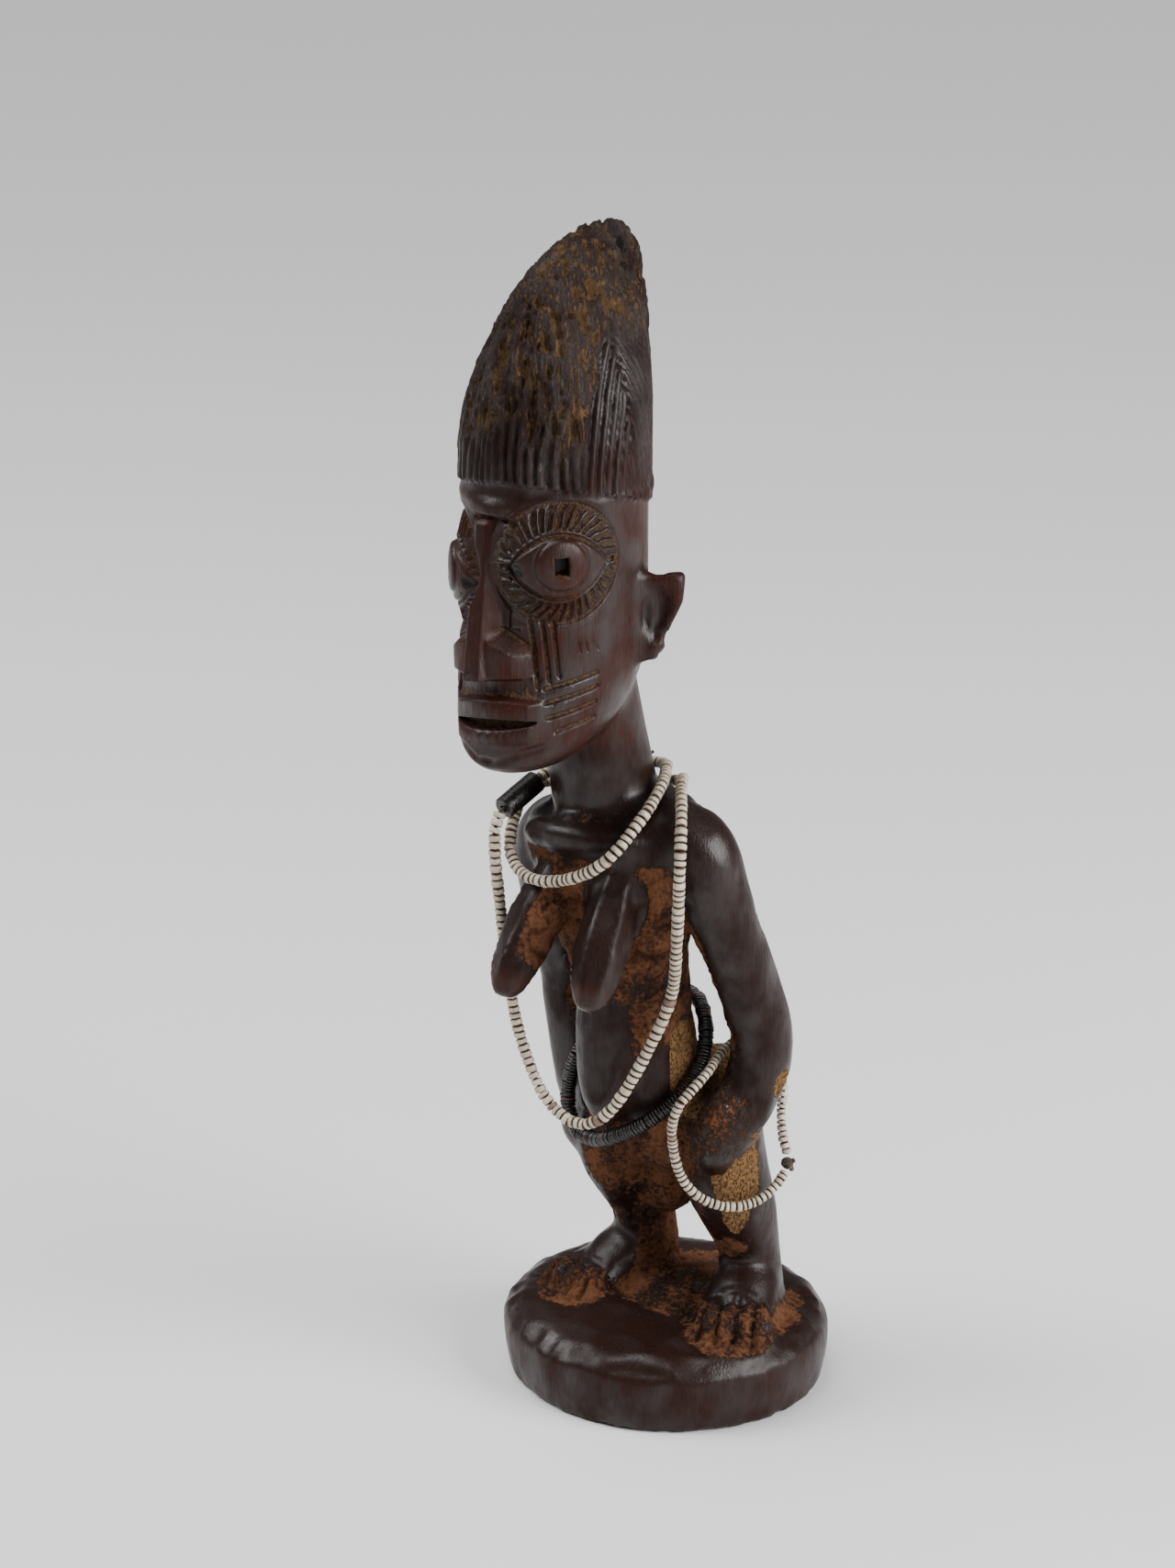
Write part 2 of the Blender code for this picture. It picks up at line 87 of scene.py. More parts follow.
WAIST_KNOT = (0, 3.5, 96)
WRIST_ROUTE = [
    (32.2, 2.2, 57.8), (31.8, -2.2, 54.8), (29.6, -7.4, 52.6), (26, -11.8, 52.2),
    (21.6, -15.4, 54), (18.2, -17.6, 57.4), (16.2, -18.8, 62), (15.4, -19.6, 67.6),
    (16, -21, 73.6), (17.8, -20.6, 79), (19.2, -17, 82.2), (19.8, -11.8, 84.8),
    (18.4, -4, 87), (19.4, 4, 87.6), (24.6, 7.6, 84.4), (28.6, 6.2, 78), (29.6, 4, 71.6),
    (31, 3, 65.6), (32.2, 3, 62)]
WRIST_KNOT = (32.4, 2.7, 59.8)


def linear(code):
    """An sRGB hex colour as the linear values that Blender's shaders use."""
    values = [int(code[place:place + 2], 16) / 255 for place in (1, 3, 5)]
    return tuple(v / 12.92 if v <= 0.04045 else ((v + 0.055) / 1.055) ** 2.4 for v in values)


# ---- settings -------------------------------------------------------------------
def colour(name, text, code):
    """A colour setting that starts at an sRGB hex colour."""
    return FloatVectorProperty(name=name, description=text, default=(*linear(code), 1.0), size=4,
                               subtype="COLOR", min=0.0, max=1.0)


def length(name, text, default):
    """A size setting in metres."""
    return FloatProperty(name=name, description=text, default=default, min=0.0,
                         unit="LENGTH", precision=5)


def strength(name, text, default, unit="NONE"):
    """A lamp setting."""
    return FloatProperty(name=name, description=text, default=default, min=0.0, unit=unit)


class DollCarvingSettings(PropertyGroup):
    """Sizes and colours of the carved wood."""
    mesh_size: length("Mesh size", "Spacing of the carved surface before it is refined", 0.00115)
    triangles: IntProperty(name="Triangles", description="Most triangles in the carved figure",
                           default=190000, min=1000)
    tool_mark: length("Tool mark", "Width of one cut of the knife on the body", 0.007)
    hair_ridge: length("Hair ridge", "Spacing of the ridges on the front of the hair", 0.0023)
    braid: length("Braid", "Spacing of the braids on the sides of the hair", 0.0021)
    lashes: IntProperty(name="Lashes", description="Notches round each eye", default=34, min=6)
    polish: colour("Polished wood", "Wood darkened by handling", "#1D0F0B")
    warm: colour("Warm wood", "Reddish wood where the dark skin has worn", "#351710")
    crust: colour("Camwood", "Red powder caked in the sheltered places", "#63402C")
    crust_dark: colour("Old camwood", "Camwood darkened by oil", "#2E1C15")
    dirt: colour("Earth", "Ochre dust left in the cuts", "#6B5136")
    bare: colour("Bare wood", "Pale wood where the skin has split away", "#836241")


class DollBeadSettings(PropertyGroup):
    """Sizes and colours of the strung beads."""
    thread: length("Thread", "Diameter of the cotton thread", 0.0009)
    neck: length("Neck beads", "Diameter of the discs on the neck string", 0.0028)
    neck_pitch: length("Neck spacing", "Length that one disc takes on the neck string", 0.00165)
    waist: length("Waist beads", "Diameter of the discs on the waist strand", 0.0037)
    waist_pitch: length("Waist spacing", "Length that one disc takes on the waist strand", 0.00076)
    wrist: length("Wrist beads", "Diameter of the discs on the wrist strand", 0.00235)
    wrist_pitch: length("Wrist spacing", "Length that one disc takes on the wrist strand", 0.0013)
    tube: length("Tube bead", "Diameter of the single tube bead", 0.0053)
    ivory: colour("Ivory", "Face of the pale discs", "#C6BDAA")
    # On the pale discs this brown also colours the faces where the discs touch.
    stain: colour("Stain", "Brown dirt at the edges of the pale discs", "#593B26")
    black: colour("Black", "Dark discs and the tube bead", "#100D0B")
    black_edge: colour("Black rims", "Worn rims of the dark discs", "#1E1814")
    red: colour("Dark red", "The few red discs on the waist strand", "#54201A")
    yarn: colour("Yarn", "Thread and knots", "#3A2419")


class DollStudioSettings(PropertyGroup):
    """Floor and lamps."""
    floor: colour("Floor", "Plain paper floor", "#DADADA")
    key: strength("Key lamp", "Power of the large lamp", 12.0, "POWER")
    rim: strength("Side lamp", "Power of the lamp behind", 21.0, "POWER")
    sun: strength("Overhead", "Strength of the wide overhead light", 2.35)
    sky: strength("Sky", "Strength of the even light", 0.24)


# ---- small helpers --------------------------------------------------------------
def ramp(value, low, high):
    """Smooth step from 0 at low to 1 at high; low may be above high."""
    share = np.clip((value - low) / (high - low), 0.0, 1.0)
    return share * share * (3.0 - 2.0 * share)


def lumps(points, size, seed):
    """Smooth noise from -1 to 1 in lumps of the given size; size may differ by axis."""
    place = points / np.array(size) + seed * 7.31
    cell = np.floor(place).astype(np.int64)
    share = place - cell
    share = share * share * (3.0 - 2.0 * share)
    total = np.zeros(len(points))
    for corner in itertools.product((0, 1), repeat=3):
        # Large odd numbers scramble the corner's place into a value that looks random.
        spot = cell + np.array(corner)
        mixed = (spot[:, 0] * 73856093) ^ (spot[:, 1] * 19349663) ^ (spot[:, 2] * 83492791)
        mixed = (mixed * 1103515245 + 12345) & 0x7FFFFFFF
        mixed = ((mixed >> 7) * 48271) & 0xFFFF
        weight = np.prod(np.where(corner, share, 1.0 - share), axis=1)
        total += weight * (mixed / 32767.5 - 1.0)
    return total


def reach(points, line):
    """Distance of each point from a line of straight stretches, in the line's own units."""
    best = np.full(len(points), 1e9)
    marks = [np.array(mark, float) for mark in line]
    for start, end in zip(marks, marks[1:]):
        along = end - start
        share = np.clip((points - start) @ along / (along @ along), 0.0, 1.0)
        best = np.minimum(best, np.linalg.norm(points - start - share[:, None] * along, axis=1))
    return best


def smooth_route(points, count, beyond=None):
    """Evenly spaced points on a smooth curve through the given ones, ends included."""
    marks = [Vector(point) for point in points]
    last = Vector(beyond) if beyond else marks[-1] * 2 - marks[-2]
    guides = [marks[0] * 2 - marks[1], *marks, last]
    fine = []
    steps = 12
    for before, start, end, after in zip(guides, guides[1:], guides[2:], guides[3:]):
        for step in range(steps):
            t = step / steps
            fine.append(0.5 * (2 * start + (end - before) * t
                               + (2 * before - 5 * start + 4 * end - after) * t * t
                               + (3 * start - before - 3 * end + after) * t ** 3))
    fine.append(marks[-1])
    run = [0.0]
    for here, there in zip(fine, fine[1:]):
        run.append(run[-1] + (there - here).length)
    even = []
    at = 0
    for step in range(count):
        wanted = run[-1] * step / (count - 1)
        while at < len(fine) - 2 and run[at + 1] < wanted:
            at += 1
        share = (wanted - run[at]) / (run[at + 1] - run[at])
        even.append(fine[at].lerp(fine[at + 1], min(share, 1.0)))
    return even


def route_length(points):
    """Length of the straight stretches between the points, in their own units."""
    return sum((there - here).length for here, there in zip(points, points[1:]))


def search_tree(spots):
    """A tree that finds the nearest of those points."""
    tree = kdtree.KDTree(len(spots))
    for index, spot in enumerate(spots):
        tree.insert(spot, index)
    tree.balance()
    return tree


def finished_mesh(whole, name, sharp=None):
    """A bmesh as smooth mesh data, sharp where faces meet at more than that many degrees."""
    data = bpy.data.meshes.new(name)
    whole.to_mesh(data)
    whole.free()
    data.shade_smooth()
    if sharp:
        data.set_sharp_from_angle(angle=math.radians(sharp))
    return data


def add_piece(name, data, material, body, slot, *nodes):
    """Links a finished piece, gives it its finish and lets it ride on its body."""
    piece = bpy.data.objects.new(name, data)
    bpy.context.scene.collection.objects.link(piece)
    data.materials.clear()
    data.materials.append(material)
    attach(piece, body)
    if nodes:
        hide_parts(*nodes)
    return piece


# ---- materials ------------------------------------------------------------------
def new_material(name):
    """A material with an empty node tree."""
    material = bpy.data.materials.new(name)
    material.use_nodes = True
    material.node_tree.nodes.clear()
    return material


def add(material, kind, outlet=0, inputs=None, **settings):
    """Adds one node with its settings and gives back one of its outlets.

    inputs holds, by name or number, each input's value or the outlet that feeds it.
    """
    node = material.node_tree.nodes.new(kind)
    for name, value in settings.items():
        setattr(node, name, value)
    for name, value in (inputs or {}).items():
        if isinstance(value, bpy.types.NodeSocket):
            material.node_tree.links.new(value, node.inputs[name])
        else:
            node.inputs[name].default_value = value
    return None if outlet is None else node.outputs[outlet]


def handled_wood(look):
    """Close-grained African hardwood, knife-cut and oiled.

    Years of oil and handling leave a brown-black skin with a soft gloss that wears to
    red-brown. Red camwood powder is caked dull and granular where hands don't reach, and
    pale porous wood shows where the skin has split away.
    """
    wood = new_material("oiled hardwood with camwood crust, hand polished")
    where = add(wood, "ShaderNodeTexCoord", "Object")
    noises = []
    for wide, tall, detail in ((0.5, 7.0, 4.0),     # pores 0.5 mm wide and 7 mm long
                               (9.0, 14.0, 3.0),    # patches of wear about 1 cm across
                               (1.1, 1.1, 5.0),     # grains of powder near 1 mm
                               (0.45, 0.8, 5.0),    # torn pores 0.45 mm wide
                               (0.5, 3.0, 5.0)):    # worn hair fibres 0.5 mm wide
        spot = add(wood, "ShaderNodeMapping", 0, {
            "Vector": where, "Scale": (1 / (wide * MM), 1 / (wide * MM), 1 / (tall * MM))})
        noises.append(add(wood, "ShaderNodeTexNoise", 0, {
            "Vector": spot, "Scale": 1.0, "Detail": detail, "Roughness": 0.6}))
    grain, cloud, speck, pore, fibre = noises
    crust, dirt, bare, warm, shade, worn_hair = [
        add(wood, "ShaderNodeAttribute", "Fac", attribute_name=name) for name in PAINTS]

    # Handled skin: brown-black, red-brown where it wears, with fine dark pores.
    patchy = add(wood, "ShaderNodeMapRange", 0, {0: cloud, 1: 0.38, 2: 0.62, 3: 0.06, 4: 0.9})
    worn = add(wood, "ShaderNodeMath", 0, {0: patchy, 1: warm, 2: 0.05},
               operation="MULTIPLY_ADD", use_clamp=True)
    skin = add(wood, "ShaderNodeMix", 2, {0: worn, 6: look.polish, 7: look.warm}, data_type="RGBA")
    lines = add(wood, "ShaderNodeMapRange", 0, {0: grain, 1: 0.38, 2: 0.6, 3: 0.7, 4: 1.12})
    frayed = add(wood, "ShaderNodeMapRange", 0, {0: fibre, 1: 0.36, 2: 0.6, 3: 0.3, 4: 1.5})
    lines = add(wood, "ShaderNodeMix", 0, {0: worn_hair, 2: lines, 3: frayed})
    skin = add(wood, "ShaderNodeVectorMath", 0, {0: skin, 3: lines}, operation="SCALE")

    # Camwood crust: the painted amount decides where, the noises break its edge up.
    ragged = add(wood, "ShaderNodeMapRange", 0, {0: speck, 1: 0.3, 2: 0.7, 3: -0.26, 4: 0.26})
    drift = add(wood, "ShaderNodeMapRange", 0, {0: cloud, 1: 0.3, 2: 0.7, 3: -0.3, 4: 0.3})
    edge = add(wood, "ShaderNodeMath", 0, {0: ragged, 1: drift}, operation="ADD")
    caked = add(wood, "ShaderNodeMath", 0, {0: crust, 1: edge}, operation="ADD")
    caked = add(wood, "ShaderNodeMapRange", 0, {0: caked, 1: 0.42, 2: 0.66})
    tone = add(wood, "ShaderNodeMath", 0, {0: speck, 1: cloud}, operation="ADD")
    tone = add(wood, "ShaderNodeMapRange", 0, {0: tone, 1: 0.82, 2: 1.14})
    powder = add(wood, "ShaderNodeMix", 2, {0: tone, 6: look.crust_dark, 7: look.crust},
                 data_type="RGBA")
    skin = add(wood, "ShaderNodeMix", 2, {0: caked, 6: skin, 7: powder}, data_type="RGBA")

    # Bare wood: pale walls round dark torn pores.
    split = add(wood, "ShaderNodeMath", 0, {0: bare, 1: edge}, operation="ADD")
    split = add(wood, "ShaderNodeMapRange", 0, {0: split, 1: 0.45, 2: 0.6})
    pits = add(wood, "ShaderNodeMapRange", 0, {0: pore, 1: 0.4, 2: 0.56, 3: 0.22, 4: 1.1})
    torn = add(wood, "ShaderNodeVectorMath", 0, {0: look.bare[:3], 3: pits}, operation="SCALE")
    skin = add(wood, "ShaderNodeMix", 2, {0: split, 6: skin, 7: torn}, data_type="RGBA")

    # Earth in the cuts, then painted shade that darkens the deep grooves.
    strands = add(wood, "ShaderNodeMapRange", 0, {0: fibre, 1: 0.38, 2: 0.62, 3: 0.4, 4: -0.3})
    streaky = add(wood, "ShaderNodeMix", 0, {0: worn_hair, 2: ragged, 3: strands})
    dusty = add(wood, "ShaderNodeMath", 0, {0: dirt, 1: streaky}, operation="ADD")
    dusty = add(wood, "ShaderNodeMapRange", 0, {0: dusty, 1: 0.4, 2: 0.8, 3: 0.0, 4: 0.82})
    skin = add(wood, "ShaderNodeMix", 2, {0: dusty, 6: skin, 7: look.dirt}, data_type="RGBA")
    deep = add(wood, "ShaderNodeMapRange", 0, {0: shade, 1: 0.0, 2: 1.0, 3: 1.0, 4: 0.25})
    skin = add(wood, "ShaderNodeVectorMath", 0, {0: skin, 3: deep}, operation="SCALE")

    # Crust, torn wood and earth are dull; the oiled skin shines unevenly.
    dull = add(wood, "ShaderNodeMath", 0, {0: caked, 1: split}, operation="MAXIMUM")
    dull = add(wood, "ShaderNodeMath", 0, {0: dull, 1: dusty}, operation="MAXIMUM")
    gloss = add(wood, "ShaderNodeMapRange", 0, {0: cloud, 1: 0.3, 2: 0.7, 3: 0.27, 4: 0.46})
    gloss = add(wood, "ShaderNodeMath", 0, {0: worn_hair, 1: 0.1, 2: gloss}, operation="MULTIPLY_ADD")
    rough = add(wood, "ShaderNodeMix", 0, {0: dull, 2: gloss, 3: 0.92})
    oiled = add(wood, "ShaderNodeMapRange", 0, {0: cloud, 1: 0.38, 2: 0.62, 3: 0.34, 4: 0.12})
    shine = add(wood, "ShaderNodeMix", 0, {0: dull, 2: oiled, 3: 0.08})

    # Fine relief up to 0.7 mm high: powder grains, pores and worn fibres.
    height = add(wood, "ShaderNodeMath", 0, {0: speck, 1: dull}, operation="MULTIPLY")
    height = add(wood, "ShaderNodeMath", 0, {0: height, 1: 1.6}, operation="MULTIPLY")
    height = add(wood, "ShaderNodeMath", 0, {0: grain, 1: 0.16, 2: height}, operation="MULTIPLY_ADD")
    holes = add(wood, "ShaderNodeMath", 0, {0: pore, 1: split}, operation="MULTIPLY")
    height = add(wood, "ShaderNodeMath", 0, {0: holes, 1: 1.6, 2: height}, operation="MULTIPLY_ADD")
    frays = add(wood, "ShaderNodeMath", 0, {0: fibre, 1: worn_hair}, operation="MULTIPLY")
    height = add(wood, "ShaderNodeMath", 0, {0: frays, 1: 1.5, 2: height}, operation="MULTIPLY_ADD")
    relief = add(wood, "ShaderNodeBump", 0, {"Height": height, "Distance": 0.7 * MM})
    surface = add(wood, "ShaderNodeBsdfPrincipled", 0, {
        "Base Color": skin, "Roughness": rough, "Normal": relief, "Specular IOR Level": shine})
    add(wood, "ShaderNodeOutputMaterial", None, {"Surface": surface})
    return wood


def disc_bead(name, face, edge, odd_face, gloss):
    """Drilled disc beads rubbed smooth against each other.

    Each bead has its own tint, and a few have the odd face. The faces where discs touch
    take the edge colour, and so do small chips. gloss is the roughness of the smoothest places.
    """
    bead = new_material(name)
    tint = add(bead, "ShaderNodeAttribute", "Fac", attribute_name="tint")
    rim = add(bead, "ShaderNodeAttribute", "Fac", attribute_name="rim")
    where = add(bead, "ShaderNodeTexCoord", "Object")
    chip = add(bead, "ShaderNodeTexNoise", 0, {     # chips and stains of 0.7 mm
        "Vector": where, "Scale": 1 / (0.7 * MM), "Detail": 4.0, "Roughness": 0.6})
    age = add(bead, "ShaderNodeMapRange", 0, {0: tint, 1: 0.0, 2: 0.9, 3: 0.0, 4: 0.3})
    body = add(bead, "ShaderNodeMix", 2, {0: age, 6: face, 7: edge}, data_type="RGBA")
    odd = add(bead, "ShaderNodeMapRange", 0, {0: tint, 1: 0.95, 2: 0.96, 3: 0.0, 4: 0.8})
    body = add(bead, "ShaderNodeMix", 2, {0: odd, 6: body, 7: odd_face}, data_type="RGBA")
    stain = add(bead, "ShaderNodeMapRange", 0, {0: chip, 1: 0.48, 2: 0.75, 3: 0.0, 4: 0.5})
    rim_and_chips = add(bead, "ShaderNodeMath", 0, {0: rim, 1: 0.85, 2: stain},
                 operation="MULTIPLY_ADD", use_clamp=True)
    body = add(bead, "ShaderNodeMix", 2, {0: rim_and_chips, 6: body, 7: edge}, data_type="RGBA")
    rough = add(bead, "ShaderNodeMapRange", 0, {0: chip, 1: 0.3, 2: 0.7, 3: gloss, 4: gloss + 0.2})
    relief = add(bead, "ShaderNodeBump", 0, {"Height": chip, "Distance": 0.08 * MM})
    surface = add(bead, "ShaderNodeBsdfPrincipled", 0, {
        "Base Color": body, "Roughness": rough, "Normal": relief, "IOR": 1.52})
    add(bead, "ShaderNodeOutputMaterial", None, {"Surface": surface})
    return bead


def cotton(look):
    """Two-ply brown cotton, twisted by hand; its fuzz gives it a dull sheen."""
    yarn = new_material("twisted brown cotton")
    where = add(yarn, "ShaderNodeTexCoord", "Object")
    ply = add(yarn, "ShaderNodeTexNoise", 0, {      # plies 0.35 mm apart
        "Vector": where, "Scale": 1 / (0.35 * MM), "Detail": 3.0})
    tone = add(yarn, "ShaderNodeMapRange", 0, {0: ply, 1: 0.3, 2: 0.7, 3: 0.45, 4: 1.0})
    body = add(yarn, "ShaderNodeVectorMath", 0, {0: look.yarn[:3], 3: tone}, operation="SCALE")
    rough = add(yarn, "ShaderNodeMapRange", 0, {0: ply, 1: 0.3, 2: 0.7, 3: 0.85, 4: 0.95})
    relief = add(yarn, "ShaderNodeBump", 0, {"Height": ply, "Distance": 0.2 * MM})
    surface = add(yarn, "ShaderNodeBsdfPrincipled", 0, {
        "Base Color": body, "Roughness": rough, "Normal": relief, "Sheen Weight": 0.3})
    add(yarn, "ShaderNodeOutputMaterial", None, {"Surface": surface})
    return yarn


def paper(look):
    """Matt background paper, rolled out flat."""
    sheet = new_material("matt background paper")
    where = add(sheet, "ShaderNodeTexCoord", "Object")
    tooth = add(sheet, "ShaderNodeTexNoise", 0, {   # slow unevenness of the roll, 400 mm
        "Vector": where, "Scale": 1 / (400 * MM), "Detail": 1.0})
    tone = add(sheet, "ShaderNodeMapRange", 0, {0: tooth, 1: 0.2, 2: 0.8, 3: 0.98, 4: 1.0})
    body = add(sheet, "ShaderNodeVectorMath", 0, {0: look.floor[:3], 3: tone}, operation="SCALE")
    rough = add(sheet, "ShaderNodeMapRange", 0, {0: tooth, 1: 0.2, 2: 0.8, 3: 0.9, 4: 0.95})
    surface = add(sheet, "ShaderNodeBsdfPrincipled", 0, {
        "Base Color": body, "Roughness": rough, "Specular IOR Level": 0.1})
    add(sheet, "ShaderNodeOutputMaterial", None, {"Surface": surface})
    return sheet


# ---- the carved figure ----------------------------------------------------------
# Places are in the frame's own axes: the figure faces -Y and its left side is +X. A side
# of 1 is the figure's left and -1 its right.
HEAD_X, HEAD_Y = -8.0, -33.0        # the head's upright axis
HEAD_WIDE, HEAD_DEEP = 19.5, 22.5   # half sizes of the head across and front to back
FACE_ARC = 21.0                     # arc round the head for each radian
EYE_RING = 13.4                     # radius of the ring of lashes
EYE_TURN = math.radians(44.0)       # each eye faces this far out from straight ahead
EAR_SWEEP = math.radians(42.0)      # each ear leans back this far from straight out
SEAM_TURN = math.radians(94.0)      # the braids' seam, round the head from the face
BASE_TOP = 18.0                     # height of the base
PAINTS = ("crust", "dirt", "bare", "warm", "shade", "worn_hair")


class Carving:
    """The figure's surface as arrays in millimetres, with its painted values."""

    def __init__(self, mesh):
        self.mesh = mesh
        spots = np.empty(len(mesh.vertices) * 3)
        mesh.vertices.foreach_get("co", spots)
        self.at = spots.reshape(-1, 3) / MM
        self.paint = {name: np.zeros(len(self.at)) for name in PAINTS}
        self.turn()

    def turn(self):
        """Works the outward directions out again after the surface has moved."""
        self.mesh.vertices.foreach_set("co", (self.at * MM).ravel())
        self.mesh.update()
        out = np.empty(len(self.at) * 3)
        self.mesh.vertex_normals.foreach_get("vector", out)
        self.out = out.reshape(-1, 3)

    def push(self, height):
        """Moves the surface outwards by that many millimetres; a cut is negative."""
        self.at += self.out * height[:, None]

    def dust(self, name, amount):
        """Paints an amount where it is more than what is there."""
        self.paint[name] = np.maximum(self.paint[name], amount)

    def cut(self, chart, line, half_width, depth, dirt=0.0):
        """A groove along a line of points on a chart of the surface."""
        near = ramp(reach(chart, line), half_width, 0.0)
        self.push(-depth * near)
        self.dust("dirt", dirt * ramp(near, 0.25, 0.8))

    def store(self):
        """Writes the painted values to the mesh, for the material to read."""
        self.turn()
        for name, values in self.paint.items():
            layer = self.mesh.attributes.new(name, "FLOAT", "POINT")
            layer.data.foreach_set("value", np.clip(values, 0.0, 1.0))


def after_modifiers(data, *steps):
    """A mesh or curve as a mesh, after modifiers given as their kinds and settings."""
    holder = bpy.data.objects.new("holder", data)
    bpy.context.scene.collection.objects.link(holder)
    for kind, settings in steps:
        step = holder.modifiers.new(kind, kind)
        for name, value in settings.items():
            setattr(step, name, value)
    bpy.context.view_layer.update()
    seen = holder.evaluated_get(bpy.context.evaluated_depsgraph_get())
    result = bpy.data.meshes.new_from_object(seen)
    bpy.data.objects.remove(holder, do_unlink=True)
    return result


def fine_copy(node, size):
    """An even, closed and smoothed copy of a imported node's mesh."""
    whole = bmesh.new()
    whole.from_mesh(bpy.data.objects[node].data)
    bmesh.ops.remove_doubles(whole, verts=whole.verts, dist=1e-6)
    return after_modifiers(finished_mesh(whole, "carving"),
                           ("REMESH", {"mode": "VOXEL", "voxel_size": size}),
                           ("SMOOTH", {"factor": 0.5, "iterations": 6}))


def refine(mesh, wanted):
    """Halves the mesh's spacing where wanted is true, and evens it there."""
    whole = bmesh.new()
    whole.from_mesh(mesh)
    whole.verts.ensure_lookup_table()
    chosen = [edge for edge in whole.edges if all(wanted[vert.index] for vert in edge.verts)]
    made = bmesh.ops.subdivide_edges(whole, edges=chosen, cuts=1, use_grid_fill=True)
    inner = [item for item in made["geom_inner"] if isinstance(item, bmesh.types.BMVert)]
    touched = set(inner)
    for vert in inner:
        touched.update(edge.other_vert(vert) for edge in vert.link_edges)
    touched = list(touched)
    for _ in range(2):
        bmesh.ops.smooth_vert(whole, verts=touched, factor=0.5,
                              use_axis_x=True, use_axis_y=True, use_axis_z=True)
    whole.to_mesh(mesh)
    whole.free()


def head_chart(at):
    """Angle round the head's axis from the face, and arc and height in millimetres."""
    angle = np.arctan2((at[:, 0] - HEAD_X) / HEAD_WIDE, -(at[:, 1] - HEAD_Y) / HEAD_DEEP)
    return angle, np.stack([FACE_ARC * angle, at[:, 2]], axis=1)


def hairline_height(at):
    """Height of the hair's lower edge, which falls towards the back."""
    return 228.8 - 0.26 * (at[:, 1] + 56.0) + 0.04 * (at[:, 0] + 8.0)


def shelter(carving, far=22.0, rays=26):
    """How much of each vertex's view is blocked within far millimetres, from 0 to 1."""
    tree = BVHTree.FromPolygons([Vector(p) for p in carving.at],
                                [tuple(face.vertices) for face in carving.mesh.polygons])
    draw = random.Random(4)
    spread = []
    for _ in range(rays):
        ring = math.sqrt(draw.random())
        turn = draw.random() * math.tau
        spread.append((ring * math.cos(turn), ring * math.sin(turn), math.sqrt(1.0 - ring * ring)))
    blocked = np.zeros(len(carving.at))
    for index, (spot, out) in enumerate(zip(carving.at, carving.out)):
        out = Vector(out)
        side = out.orthogonal().normalized()
        third = out.cross(side)
        start = Vector(spot) + out * 0.4    # clear of the surface itself
        for a, b, c in spread:
            if tree.ray_cast(start, side * a + third * b + out * c, far)[0] is not None:
                blocked[index] += 1.0
    return blocked / rays


